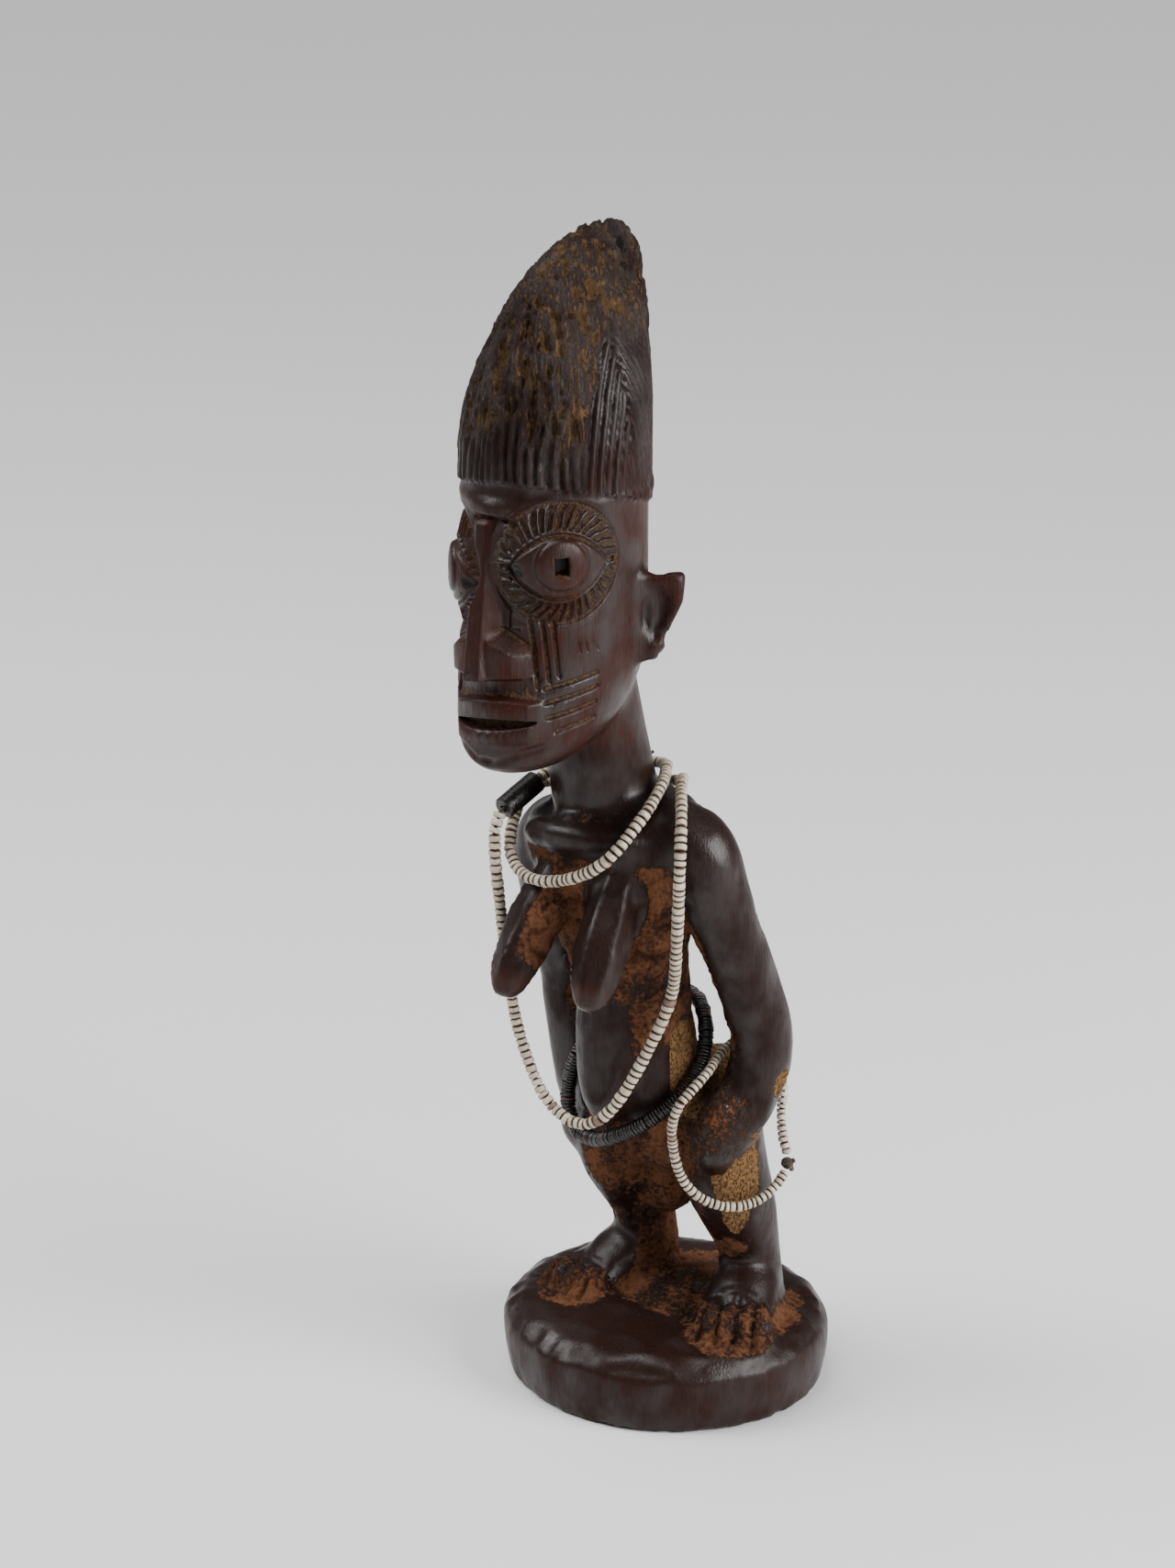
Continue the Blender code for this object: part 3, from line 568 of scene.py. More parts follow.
def plane_hair(carving, look):
    """The hair: rough ridges in front, two fans of braids that meet at a seam on each side."""
    at = carving.at
    angle, chart = head_chart(at)
    above = at[:, 2] - hairline_height(at)
    on_head = ramp(at[:, 2], 214.0, 217.0) * (np.hypot(at[:, 0] - HEAD_X, at[:, 1] - HEAD_Y) < 40)
    hair = ramp(above, -0.1, 0.5) * on_head
    carving.push(0.9 * hair - 0.7 * ramp(at[:, 2], 223.5, 226.5) * on_head)
    carving.turn()

    # Braids: t is the arc from the seam, and the strands lean more the higher they stand.
    shrink = 1.0 - 0.55 * ramp(at[:, 2], 232.0, 278.0)
    t = (SEAM_TURN - np.abs(angle)) * FACE_ARC * shrink
    height = np.maximum(above, 0.0)
    fan = np.abs(t) + 0.0088 * height ** 2
    strand = fan / (look.braid / MM)
    groove = 1.0 - (np.abs(strand - np.round(strand)) * 2.0) ** 0.7
    front_edge = fan + 1.2 * lumps(at, (4.0, 4.0, 9.0), 3)
    braided = hair * ramp(front_edge, 13.5, 12.3) * ramp(height, 40.0, 33.0)
    braided = np.where(t < 0, hair * ramp(height, 42.0, 30.0), braided)
    carving.push(-1.4 * np.clip(groove, 0.0, 1.0) ** 1.6 * braided)
    carving.push(-0.8 * ramp(np.abs(t), 0.7, 0.0) * braided)

    # Rough part: upright rods, plain near the hairline and broken by wear above.
    rough = hair * (1.0 - braided)
    sway = 1.4 * lumps(at, (5.0, 5.0, 12.0), 5)
    ridge = (chart[:, 0] + sway) / (look.hair_ridge / MM)
    dip = 1.0 - np.abs(ridge - np.round(ridge)) * 2.0
    broken = ramp(height + 4.0 * lumps(at, (4.0, 4.0, 4.0), 6), 4.0, 16.0)
    carving.push(-1.1 * ramp(dip, 0.35, 1.0) * rough * (1.0 - 0.6 * broken))
    worn = lumps(at, (1.5, 1.5, 5.5), 7) + 0.5 * lumps(at, (0.9, 0.9, 2.4), 8)
    sunk = ramp(-worn, -0.1, 0.55)
    carving.push((0.3 - 1.25 * sunk) * rough * (0.25 + 0.75 * broken))
    carving.push(0.22 * lumps(at, (0.8, 0.8, 1.3), 10) * rough * broken)
    low = 0.95 * sunk * broken + 0.5 * ramp(dip, 0.4, 0.95)
    patch = ramp(lumps(at, (11.0, 11.0, 16.0), 9), -0.5, 0.4)
    carving.dust("dirt", np.minimum(low, 0.9) * rough * (0.6 + 0.4 * patch))
    deep = np.maximum(ramp(dip, 0.55, 1.0) * (1.0 - broken), ramp(sunk, 0.5, 1.0) * broken)
    carving.dust("shade", 0.6 * deep * rough)
    carving.dust("shade", np.clip(groove, 0.0, 1.0) ** 1.2 * braided)
    carving.dust("warm", 0.5 * braided * ramp(at[:, 2], 246.0, 228.0))
    carving.dust("worn_hair", rough * (0.3 + 0.7 * broken))

    # The tuft behind the crest stands apart from it.
    split = -22.0 + 0.36 * (at[:, 2] - 262.0)
    gap = ramp(np.abs(at[:, 1] - split), 2.0, 0.3) * ramp(at[:, 2], 262.0, 268.0) * on_head
    carving.push(-1.7 * gap * ramp(at[:, 2], 280.0, 274.0))
    at[:, 2] -= 5.0 * gap * ramp(at[:, 2], 272.0, 279.0)
    carving.dust("shade", 0.8 * gap)
    carving.turn()


def carve_eye(carving, look, side):
    """Bulging almond eye with a drilled pupil inside a ring of notched lashes."""
    centre = np.array((HEAD_X + 13.0 * side, -49.3, 209.4 + 2.6 * side))
    across = np.array((math.cos(EYE_TURN), math.sin(EYE_TURN) * side, 0.0))
    out = np.array((math.sin(EYE_TURN) * side, -math.cos(EYE_TURN), 0.0))
    offset = carving.at - centre
    h = offset @ across * side
    v = offset[:, 2]
    tall = offset @ out
    ring = np.hypot(h, v)
    inside = ramp(ring, EYE_RING + 1.9, EYE_RING - 0.1)
    inside = inside * (np.abs(tall) < 10.0) * (carving.out @ out > -0.1)
    lower = 0.0 if side == 1 else 1.0   # the right eye stands out less

    # The bowl, the almond with its lids, then the iris and the drilled pupil.
    bowl = 3.1 - lower - 0.034 * h * h - 0.12 * h - 0.013 * v * v
    edge = 6.9 * np.clip(1.0 - (h / 10.6) ** 2, 0.0, 1.0) ** 0.8
    lid = edge - np.abs(v + 0.4)
    almond = ramp(lid, -0.4, 0.5)
    ball = (2.0 - 0.5 * lower) * np.clip(1.0 - (h / 11.5) ** 2 - (v / 9.0) ** 2, 0.0, 1.0) ** 0.5
    relief = bowl + almond * (ball - 0.5)
    relief -= 0.75 * ramp(np.abs(lid + 0.1), 0.8, 0.0) * (ring < EYE_RING - 1.0)
    iris = np.hypot(h - 0.2, v - 0.4)
    relief -= 0.35 * ramp(np.abs(iris - 5.9), 0.7, 0.0) * almond
    relief += 0.35 * ramp(iris, 6.0, 4.6) * almond
    hole = np.maximum(np.abs(h - 0.1), np.abs(v - 0.2) * 0.8)
    relief -= 2.6 * ramp(hole, 1.75, 1.15)

    # Lashes: a leaning notch between each two, inside the ring's own groove.
    lash = np.arctan2(v, h) / math.tau * look.lashes + (ring - 11.0) * 0.2
    lash += 0.25 * lumps(carving.at, (2.5, 2.5, 2.5), 40 + side)
    notch = 1.0 - np.abs(lash - np.floor(lash) - 0.5) * 2.0
    band = ramp(lid, -1.0, -1.7) * ramp(ring, EYE_RING - 0.1, EYE_RING - 0.9) * ramp(ring, 6.5, 8.0)
    relief -= 1.15 * notch ** 0.8 * band
    relief -= 0.7 * ramp(np.abs(ring - EYE_RING), 0.8, 0.0)
    corner = np.hypot(h + 9.6, (v + 0.9) * 1.2)
    relief -= 1.1 * ramp(corner, 2.2, 0.3)
    shift = (relief - tall) * inside
    carving.at += out * shift[:, None]

    carving.dust("dirt", inside * band * ramp(notch, 0.25, 0.65) * 0.62)
    carving.dust("dirt", inside * ramp(np.abs(lid + 0.1), 0.9, 0.1) * 0.55)
    carving.dust("dirt", inside * ramp(np.abs(ring - EYE_RING), 0.9, 0.1) * 0.55)
    carving.dust("dirt", inside * ramp(np.abs(hole - 1.6), 0.6, 0.1) * 0.5)
    carving.dust("warm", inside * ramp(iris, 6.4, 4.8) * 0.9)
    carving.dust("shade", inside * ramp(hole, 1.6, 1.0))
    carving.dust("shade", inside * ramp(corner, 2.4, 0.8))
    carving.dust("shade", inside * band * ramp(notch, 0.6, 1.0) * 0.5)


def carve_nose_and_mouth(carving):
    """The flat-ridged nose with flared wings, and the mouth block with its open slit."""
    at = carving.at
    x, y, z = at.T
    forward = -y
    heights = (169.0, 175.0, 183.0, 193.0, 206.0)
    wide = np.interp(z, heights, (14.5, 17.2, 18.8, 19.5, 19.5))
    deep = np.interp(z, heights, (16.5, 21.5, 23.2, 23.0, 22.5))
    middle = -HEAD_Y + np.interp(z, heights, (10.0, 5.0, 2.0, 0.5, 0.0))
    face = middle + deep * np.sqrt(np.clip(1.0 - ((x - HEAD_X) / wide) ** 2, 0.0, 1.0))
    axis = -9.0 - 0.038 * (z - 186.0)
    d = np.abs(x - axis)
    level = face - 0.4

    # The ridge of the nose, and its wings with a groove above them.
    ridge_top = 56.6 + (220.0 - z) * 0.185
    ridge_half = 1.3 + 0.022 * (220.0 - z)
    ridge = ramp(d, ridge_half + 2.6, ridge_half - 0.3)
    ridge = ridge * ramp(z, 222.0, 219.5) * ramp(z, 185.3, 186.2)
    level = level + (ridge_top - level) * ridge
    flare = 197.0 - 0.045 * d * d
    rim = np.minimum(np.minimum(flare - z, (10.9 - d) * 0.8), (z - 185.4) * 1.6)
    wing_top = 61.0 - 0.046 * d * d - 0.012 * (z - 189.5) ** 2
    wing = ramp(rim, -0.3, 2.6)
    level = np.maximum(level, level + (wing_top - level) * wing)
    beside = ramp(np.abs(z - flare - 0.5), 1.1, 0.1) * ramp(d, 2.6, 3.6) * ramp(d, 11.4, 10.2)
    level = level - 0.6 * beside
    dirt = 0.7 * beside

    # The mouth rises a little towards the figure's left.
    lift = z - 0.12 * (x + 8.3)
    off = np.abs(x + 7.2)
    block = ramp(off, 12.6, 8.8) * ramp(lift, 186.4, 185.0) * ramp(lift, 168.5, 171.5)
    band = 57.4 - 0.034 * off * off
    lip_top = 181.8 - 0.014 * off * off
    lips = 59.9 - 0.032 * off * off
    under = band + (lips - band) * ramp(lift, lip_top + 0.5, lip_top - 0.7)
    slit_half = 1.2 * np.clip(1.0 - (off / 10.6) ** 2, 0.0, 1.0) ** 0.7
    slit = ramp(np.abs(lift - 175.8), slit_half + 0.25, slit_half - 0.35) * ramp(off, 10.8, 10.0)
    under = under + (56.9 - 0.028 * off * off - under) * slit
    mouth_level = np.where(lift < 172.0, np.minimum(under, 59.7 - 0.032 * off * off), under)
    level = level + (mouth_level - level) * block

    dirt = np.maximum(dirt, block * slit * 0.62)
    seam = ramp(np.abs(lift - lip_top - 0.7), 0.9, 0.2)
    dirt = np.maximum(dirt, block * seam * (0.5 + 0.2 * ramp(off, 3.0, 9.0)))
    region = ((z > 169.0) & (z < 222.5) & (forward > 48.0)).astype(float)
    region = region * ramp(z, 169.3, 172.0) * ramp(z, 222.4, 221.0)
    region = region * np.where(z > 186.0, ramp(d, 12.4, 10.8), ramp(off, 12.8, 11.2))
    # Above the wings only the ridge and a little of the face beside it are shaped.
    region = region * np.where(z > 197.5, ramp(d, 7.0, 5.5), 1.0)
    at[:, 1] -= (level - forward) * region
    carving.dust("dirt", dirt * region)
    carving.dust("shade", region * 0.55 * block * slit * ramp(lift, 174.6, 176.4))
    carving.dust("warm", region * np.maximum(wing, block * (1.0 - slit)) * 0.8)


def carve_marks(carving):
    """Brow ledge, the cuts under the eyes and on the cheeks, and the crease of the chin."""
    under_eye = (((11.3, 184.5), (9.3, 199.4)), ((13.7, 185.8), (12.0, 199.0)),
                 ((15.7, 187.0), (14.3, 198.8)))
    on_cheek = (((12.6, 184.3), (24.4, 186.6)), ((13.0, 181.2), (24.6, 183.4)),
                ((13.4, 177.8), (24.2, 179.8)), ((14.8, 174.4), (24.0, 176.3)))
    small = (((19.9, 194.0), (20.4, 191.8)), ((21.6, 194.0), (22.0, 191.8)),
             ((23.2, 194.0), (24.6, 191.8)))
    chin = [(-0.5, 166.9), (2.5, 167.2), (7.0, 169.3), (12.0, 171.2)]
    brow_edge = [(-1.0, 221.7), (2.4, 221.6), (5.0, 220.9), (6.6, 220.3)]
    for side in (1, -1):
        chart = head_chart(carving.at)[1]
        chart[:, 0] *= side
        behind = carving.at[:, 1] >= HEAD_Y + 6.0
        chart[:, 0] += 500.0 * behind       # out of reach of every cut
        drop = 0.0 if side == 1 else 4.0    # the right side's marks stand lower
        for marks, half_width, depth, dirt in ((under_eye, 0.7, 0.75, 0.62),
                                               (on_cheek, 0.85, 0.75, 0.62),
                                               (small, 0.45, 0.3, 0.0)):
            for mark in marks:
                line = [(arc, height - drop) for arc, height in mark]
                carving.cut(chart, line, half_width, depth, dirt)
        carving.cut(chart, chin, half_width=1.5, depth=0.55)
        carving.cut(chart, brow_edge, half_width=0.8, depth=0.6, dirt=0.45)
    _, chart = head_chart(carving.at)
    brow = ramp(carving.at[:, 2], 220.9, 222.3) * ramp(carving.at[:, 2], 229.0, 223.0)
    carving.push(0.7 * brow * ramp(np.abs(chart[:, 0]), 11.0, 3.0) * (carving.at[:, 1] < HEAD_Y))
    carving.turn()


def carve_ears(carving):
    """A curled rim round a hollow, above a small lobe."""
    for side in (1, -1):
        root = np.array((HEAD_X + side * (HEAD_WIDE - 1.0), HEAD_Y + 5.0, 183.0 + 1.95 * side))
        outward = np.array((math.cos(EAR_SWEEP) * side, math.sin(EAR_SWEEP), 0.0))
        facing = np.array((math.sin(EAR_SWEEP) * side, -math.cos(EAR_SWEEP), 0.0))
        offset = carving.at - root
        chart = np.stack([offset @ outward, offset[:, 2]], axis=1)
        front = (carving.out @ facing > 0.1) & (chart[:, 0] > 0.5) & (chart[:, 0] < 12.0)
        front &= (np.abs(offset @ facing) < 5.0) & (chart[:, 1] > -3.0) & (chart[:, 1] < 24.0)
        wing = ramp(chart[:, 0], 3.0, 8.0) * ramp(chart[:, 1], 6.0, 16.0) * (chart[:, 1] < 25.0)
        near = (np.abs(offset @ facing) < 6.0) & (chart[:, 0] > 2.0) & (chart[:, 0] < 14.0)
        carving.at += 1.7 * (wing * near)[:, None] * outward
        hollow = ramp(np.hypot((chart[:, 0] - 3.6) / 3.0, (chart[:, 1] - 11.6) / 5.6), 1.15, 0.55)
        carving.push(-1.5 * hollow * front)
        shelf = ramp(reach(chart, [(2.0, 18.4), (4.6, 17.0), (6.6, 12.5)]), 1.1, 0.0)
        carving.push(-0.6 * shelf * front)
        curl = ramp(reach(chart, [(1.4, 20.6), (7.6, 19.4), (7.2, 13.0), (5.4, 6.4)]), 1.3, 0.2)
        carving.push(0.45 * curl * front)
        lobe = ramp(np.hypot(chart[:, 0] - 4.6, chart[:, 1] - 3.2), 3.2, 1.4)
        carving.push(0.8 * lobe * front)
        ridge = ramp(reach(chart, [(2.8, 8.0), (3.4, 11.0), (3.0, 14.5)]), 1.2, 0.1)
        carving.push(0.7 * ridge * front)
        carving.dust("warm", 0.95 * ridge * front)
        notch = ramp(reach(chart, [(6.8, 7.2), (3.2, 6.0)]), 0.9, 0.0)
        carving.push(-0.8 * notch * front)
        carving.dust("warm", 0.8 * hollow * front)
        carving.dust("shade", 0.5 * np.maximum(hollow, shelf) * front)
    carving.turn()


def carve_feet_and_hands(carving):
    """Cuts between the toes, the smooth instep caps, and the thumb's ridge on the hand."""
    z = carving.at[:, 2]
    for centre, turn, lines in (
            ((22.5, -1.0), 20.0, (-6.6, -2.8, 1.2, 5.2)),
            ((-18.0, -1.5), -14.0, (-5.6, -1.8, 2.2, 6.0))):
        angle = math.radians(turn)
        ahead = np.array((math.sin(angle), -math.cos(angle)))
        aside = np.array((math.cos(angle), math.sin(angle)))
        flat = carving.at[:, :2] - np.array(centre)
        chart = np.stack([flat @ aside, flat @ ahead], axis=1)
        toes = ramp(z, BASE_TOP - 0.2, BASE_TOP + 1.0) * (z < 32.0)
        for offset in lines:
            near = ramp(reach(chart, [(offset, 5.2), (offset * 1.15, 17.0)]), 0.95, 0.0) * toes
            carving.push(-1.2 * near)
            carving.dust("shade", near)
            pit = ramp(reach(chart, [(offset * 1.12, 14.0), (offset * 1.13, 14.8)]), 1.2, 0.3) * toes
            carving.push(-0.7 * pit)
        step = ramp(reach(chart, [(-9.0, 4.0), (9.0, 4.0)]), 0.9, 0.0) * toes
        carving.push(-0.7 * step)
        across = ramp(np.abs(chart[:, 0]), 12.0, 10.0)
        carving.dust("crust", 0.62 * ramp(chart[:, 1], 3.6, 5.0) * toes * across)

    # The hand lies on the hip: the thumb along the front edge, and a cuff at the wrist.
    hand = (carving.at[:, 0] > 14.0) * ramp(z, 58.0, 60.0) * ramp(z, 86.0, 82.0)
    thumb = [(28.5, -12.0, 78.0), (22.5, -18.0, 68.0), (20.5, -18.5, 62.0)]
    cuff = [(31.0, -9.0, 79.5), (20.0, -15.5, 81.5)]
    for line, half_width, depth in ((thumb, 3.5, 0.8), (cuff, 3.2, 0.5)):
        near = ramp(reach(carving.at, line), half_width, 0.4)
        carving.push(-depth * near * hand)
    carving.turn()


def plane_base(carving):
    """Adze ripples on the top, broken facets round the rim, fine upright cuts on the wall."""
    x, y, z = carving.at.T
    radius = np.hypot(x, y / 0.94)
    top = ramp(z, BASE_TOP - 1.6, BASE_TOP - 0.6) * ramp(z, BASE_TOP + 2.0, BASE_TOP + 0.4)

    # Each stroke of the adze leaves a shallow scoop, longer across than front to back.
    draw = random.Random(11)
    squeeze = 0.75
    strokes = [(draw.uniform(-40, 40), draw.uniform(-40, 40)) for _ in range(110)]
    tree = search_tree([(across * squeeze, back, 0.0) for across, back in strokes])
    scoop = np.zeros(len(x))
    for index in np.nonzero((z < BASE_TOP + 2.0) & (z > 4.0))[0]:
        scoop[index] = tree.find((x[index] * squeeze, y[index], 0.0))[2]
    carving.push(0.03 * np.minimum(scoop, 5.5) ** 2 * top - 0.35 * top)
    fall = ramp(radius, 31.0, 40.5) ** 2 * ramp(z, 12.0, 17.0) * (z < BASE_TOP + 1.5)
    carving.at[:, 2] -= 1.4 * fall

    # Uneven facets round the rim, deeper at the front.
    facets = 15
    angle = np.arctan2(y, x)
    rim = ramp(np.hypot(radius - 38.6, z - (BASE_TOP - 1.4)), 5.0, 1.0) * (z < BASE_TOP + 1.5)
    around = angle / math.tau * facets + 0.7 * np.sin(angle * 3.0) + 0.5 * np.sin(angle * 7.0)
    facet = np.abs(around - np.round(around)) * 2.0
    ahead = 0.45 + 0.55 * ramp(np.cos(angle + 1.9), 0.1, 0.7)
    carving.push(-0.75 * (1.0 - facet ** 2) * rim * ahead)

    wall = ramp(z, BASE_TOP - 3.0, BASE_TOP - 6.0) * ramp(radius, 35.0, 37.0)
    carving.push(0.22 * lumps(carving.at, (4.0, 4.0, 14.0), 12) * wall)
    carving.push(0.1 * lumps(carving.at, (1.2, 1.2, 9.0), 13) * wall)
    carving.dust("warm", 0.35 * wall)
    carving.turn()


def tool_marks(carving, width, depth):
    """Shallow hollows, each one cut of the knife, that meet in soft edges.

    The face keeps a tenth of them, because it was scraped smooth.
    """
    draw = random.Random(21)
    body = np.nonzero((carving.at[:, 2] > 24.0) & (carving.at[:, 2] < 222.0))[0]
    squeezed = carving.at * (1.0, 1.0, 0.55)    # so that each cut is longer than it is wide
    cuts = [int(body[draw.randrange(len(body))]) for _ in range(700)]
    tree = search_tree([squeezed[index] for index in cuts])
    far = np.zeros(len(carving.at))
    for index in body:
        far[index] = tree.find(squeezed[index])[2]
    cup = np.minimum(far, width / 2) ** 2 / (width / 2) ** 2
    plain = 1.0 - 0.9 * ramp(carving.at[:, 2], 158.0, 166.0)
    carving.push(depth * (cup - 0.5) * plain * (far > 0))
    carving.turn()


def facet_breasts(carving, facets=7):
    """Knife-cut breasts: long flat facets that meet in soft edges, with a blunt tip.

    Gives back where they are bare of powder.
    """
    bare = np.zeros(len(carving.at))
    left = ((7.0, -29.0, 134.0), (9.0, -44.0, 108.0))
    right = ((-10.0, -29.0, 133.0), (-12.5, -46.5, 107.5))
    for top, tip in (left, right):
        start, end = np.array(top), np.array(tip)
        along = (end - start) / np.linalg.norm(end - start)
        offset = carving.at - start
        run = offset @ along
        spoke = offset - run[:, None] * along
        far = np.linalg.norm(spoke, axis=1)
        aside = np.array((1.0, 0.0, 0.0)) - along[0] * along
        aside /= np.linalg.norm(aside)
        front = np.cross(aside, along)
        turn = np.arctan2(spoke @ aside, spoke @ front) / math.tau * facets
        flat = np.abs(turn - np.round(turn)) * 2.0
        near = ramp(far, 8.6, 6.9) * ramp(run, -4.0, 3.0) * (run < 36.0)
        near = near * (carving.at[:, 1] < -27.0)
        if top[0] < 0:      # powder covers the inner half of the right one
            near = near * np.maximum(ramp(spoke @ aside, 2.5, 0.5), ramp(run, 21.0, 25.0))
        carving.push((0.75 * flat ** 2 - 0.4) * near * ramp(run, 31.0, 25.0))
        bare = np.maximum(bare, near)
        carving.dust("warm", near * ramp(run, 24.0, 27.0))
    carving.turn()
    return bare


def caked_amount(carving, hidden, bare, drift, body):
    """How thickly the powder is caked, from 0 to 1: in hollows, and where it was rubbed in."""
    x, y, z = carving.at.T
    amount = ramp(hidden + 0.3 * drift, 0.22, 0.50) * body
    chest = ramp(np.abs(x - 1.0), 22.5, 17.0) * ramp(z, 84.0, 98.0) * ramp(z, 141.0, 137.0)
    chest = chest * (y < -10.0)
    amount = np.maximum(amount, 0.9 * chest + 0.5 * drift * chest)
    loins = ramp(np.abs(x - 1.0), 22.0, 14.0) * ramp(z, 40.0, 50.0) * ramp(z, 76.0, 68.0)
    loins = loins * (y < 0.0)
    amount = np.maximum(amount, 0.72 * loins + 0.5 * drift * loins)
    collar = ramp(z, 138.0, 142.0) * ramp(z, 149.0, 146.0) * (y < -22.0)
    arms = ramp(np.abs(x), 25.0, 28.0) * (z > 82.0)
    amount = amount * (1.0 - 0.9 * collar) * (1.0 - 0.45 * arms)

    flat = carving.at[:, :2]
    left_foot = reach(flat, [(25.5, -9.0), (21.0, 8.0)])
    right_foot = reach(flat, [(-20.0, -8.0), (-16.0, 8.0)])
    near_feet = np.minimum(np.minimum(left_foot, right_foot), np.hypot(x - 2.0, y - 9.0) - 8.0)
    ground = ramp(near_feet + 4.0 * drift, 13.0, 9.8) * ramp(z, BASE_TOP + 8.0, BASE_TOP + 1.0)
    ground = ground * ramp(z, BASE_TOP - 1.5, BASE_TOP - 0.3)
    amount = np.maximum(amount, 0.8 * ground)
    palm = ramp(np.linalg.norm(carving.at - (21.0, -13.0, 73.0), axis=1), 13.0, 7.0)
    amount = np.maximum(amount, 0.62 * palm + 0.35 * drift * palm)
    belly = ramp(np.hypot(x + 1.5, (y + 26.0) * 1.4), 10.5, 7.0)
    belly = belly * ramp(z, 108.0, 100.0) * ramp(z, 66.0, 72.0)
    amount = amount * (1.0 - 0.9 * belly) * (1.0 - bare)
    pillar = ramp(np.hypot(x + 3.0, y - 8.0), 13.0, 9.0) * ramp(z, 19.0, 22.0) * ramp(z, 54.0, 46.0)
    return np.maximum(amount, 0.8 * pillar)


def split_places(carving, drift):
    """Where the skin has split away to bare wood: the left hip, thigh and elbow."""
    x, y, z = carving.at.T
    ragged = 1.0 + 0.5 * drift
    hip = ramp(np.hypot((x - 15.0) / 6.5, (z - 84.0) / 11.0) * ragged, 1.2, 0.85)
    hip = hip * (y > -16.0) * (y < 10.0) * (x > 8.0)
    half_wide = 5.6 * np.clip((z - 41.0) / 17.0, 0.01, 1.0) ** 0.6
    thigh = ramp(np.abs(0.81 * x + 0.59 * y - 16.0) / half_wide * ragged, 1.15, 0.85)
    thigh = thigh * (x > 15.0) * (z > 41.0) * ramp(z, 72.0, 69.0)
    palm = np.hypot(np.hypot((x - 24.0) / 6.0, (y + 8.5) / 8.5), (z - 73.0) / 10.0)
    fingers = np.hypot(np.hypot((x - 22.0) / 5.2, (y + 12.0) / 6.0), (z - 68.0) / 8.5)
    beside_hand = ramp(np.minimum(palm, fingers), 0.98, 1.06)
    ahead = ramp(0.59 * carving.out[:, 0] - 0.81 * carving.out[:, 1], 0.1, 0.3)
    elbow = np.linalg.norm(carving.at - (34.0, -2.0, 82.0), axis=1)
    elbow = ramp(elbow * ragged, 4.5, 3.0)
    return np.maximum(np.maximum(hip, thigh * beside_hand * ahead), elbow)


def cake_with_camwood(carving, hidden, bare):
    """Camwood where hands don't reach, bare wood where it split, and painted shade in the deep places.
    """
    x, y, z = carving.at.T
    body = ramp(z, 158.0, 151.0)
    drift = 0.35 * lumps(carving.at, (5.0, 5.0, 7.0), 34)
    drift += 0.2 * lumps(carving.at, (2.2, 2.2, 2.8), 35)
    left_instep = ramp(np.hypot(x - 21.0, y + 1.5), 7.5, 6.0)
    right_instep = ramp(np.hypot(x + 15.5, y + 1.0), 7.0, 5.5)
    polished = np.maximum(left_instep, right_instep)
    polished = polished * ramp(z, 21.0, 23.0) * ramp(z, 34.0, 30.0) * (y < 4.0)
    carving.dust("crust", caked_amount(carving, hidden, bare, drift, body))
    carving.paint["crust"] *= 1.0 - 0.9 * polished
    torn = split_places(carving, drift)
    carving.dust("bare", torn)

    # The crust is lumpy and cracked, with painted shade in the cracks, and the torn wood sinks in.
    thick = carving.paint["crust"] * (1.0 - carving.paint["bare"])
    rise = (0.45 * lumps(carving.at, (2.6, 2.6, 2.6), 30)
            + 0.32 * lumps(carving.at, (1.5, 1.5, 1.5), 31)
            + 0.14 * lumps(carving.at, (0.9, 0.9, 0.9), 32))
    carving.push(rise * thick * (0.35 + 0.65 * ramp(z, 24.0, 30.0)))
    cracks = ramp(np.abs(lumps(carving.at, (4.5, 4.5, 5.5), 36)), 0.1, 0.02) * thick * body
    carving.push(-0.6 * cracks)
    carving.dust("shade", 0.8 * cracks)
    carving.push(0.3 * lumps(carving.at, (0.9, 0.9, 2.2), 33) * torn - 0.25 * torn)
    # Painted shade where the surface is most sheltered, from the rays cast in shelter().
    carving.dust("shade", 0.8 * ramp(hidden, 0.60, 0.92) * body)

    # A cut where the neck stands in the collar, darkened with painted shade, with a little powder above
    # it.
    at_neck = np.hypot(x + 4.5, y + 19.5) < 14.5
    foot = ramp(np.abs(z - 149.5 - 0.12 * y), 2.0, 0.3) * at_neck * (y < -24.0)
    carving.push(-0.7 * foot)
    carving.dust("shade", 0.75 * foot)
    ring = ramp(np.abs(z - 152.5 - 0.12 * y), 3.5, 1.0) * at_neck
    carving.dust("crust", 0.5 * ring + 0.4 * drift * ring)


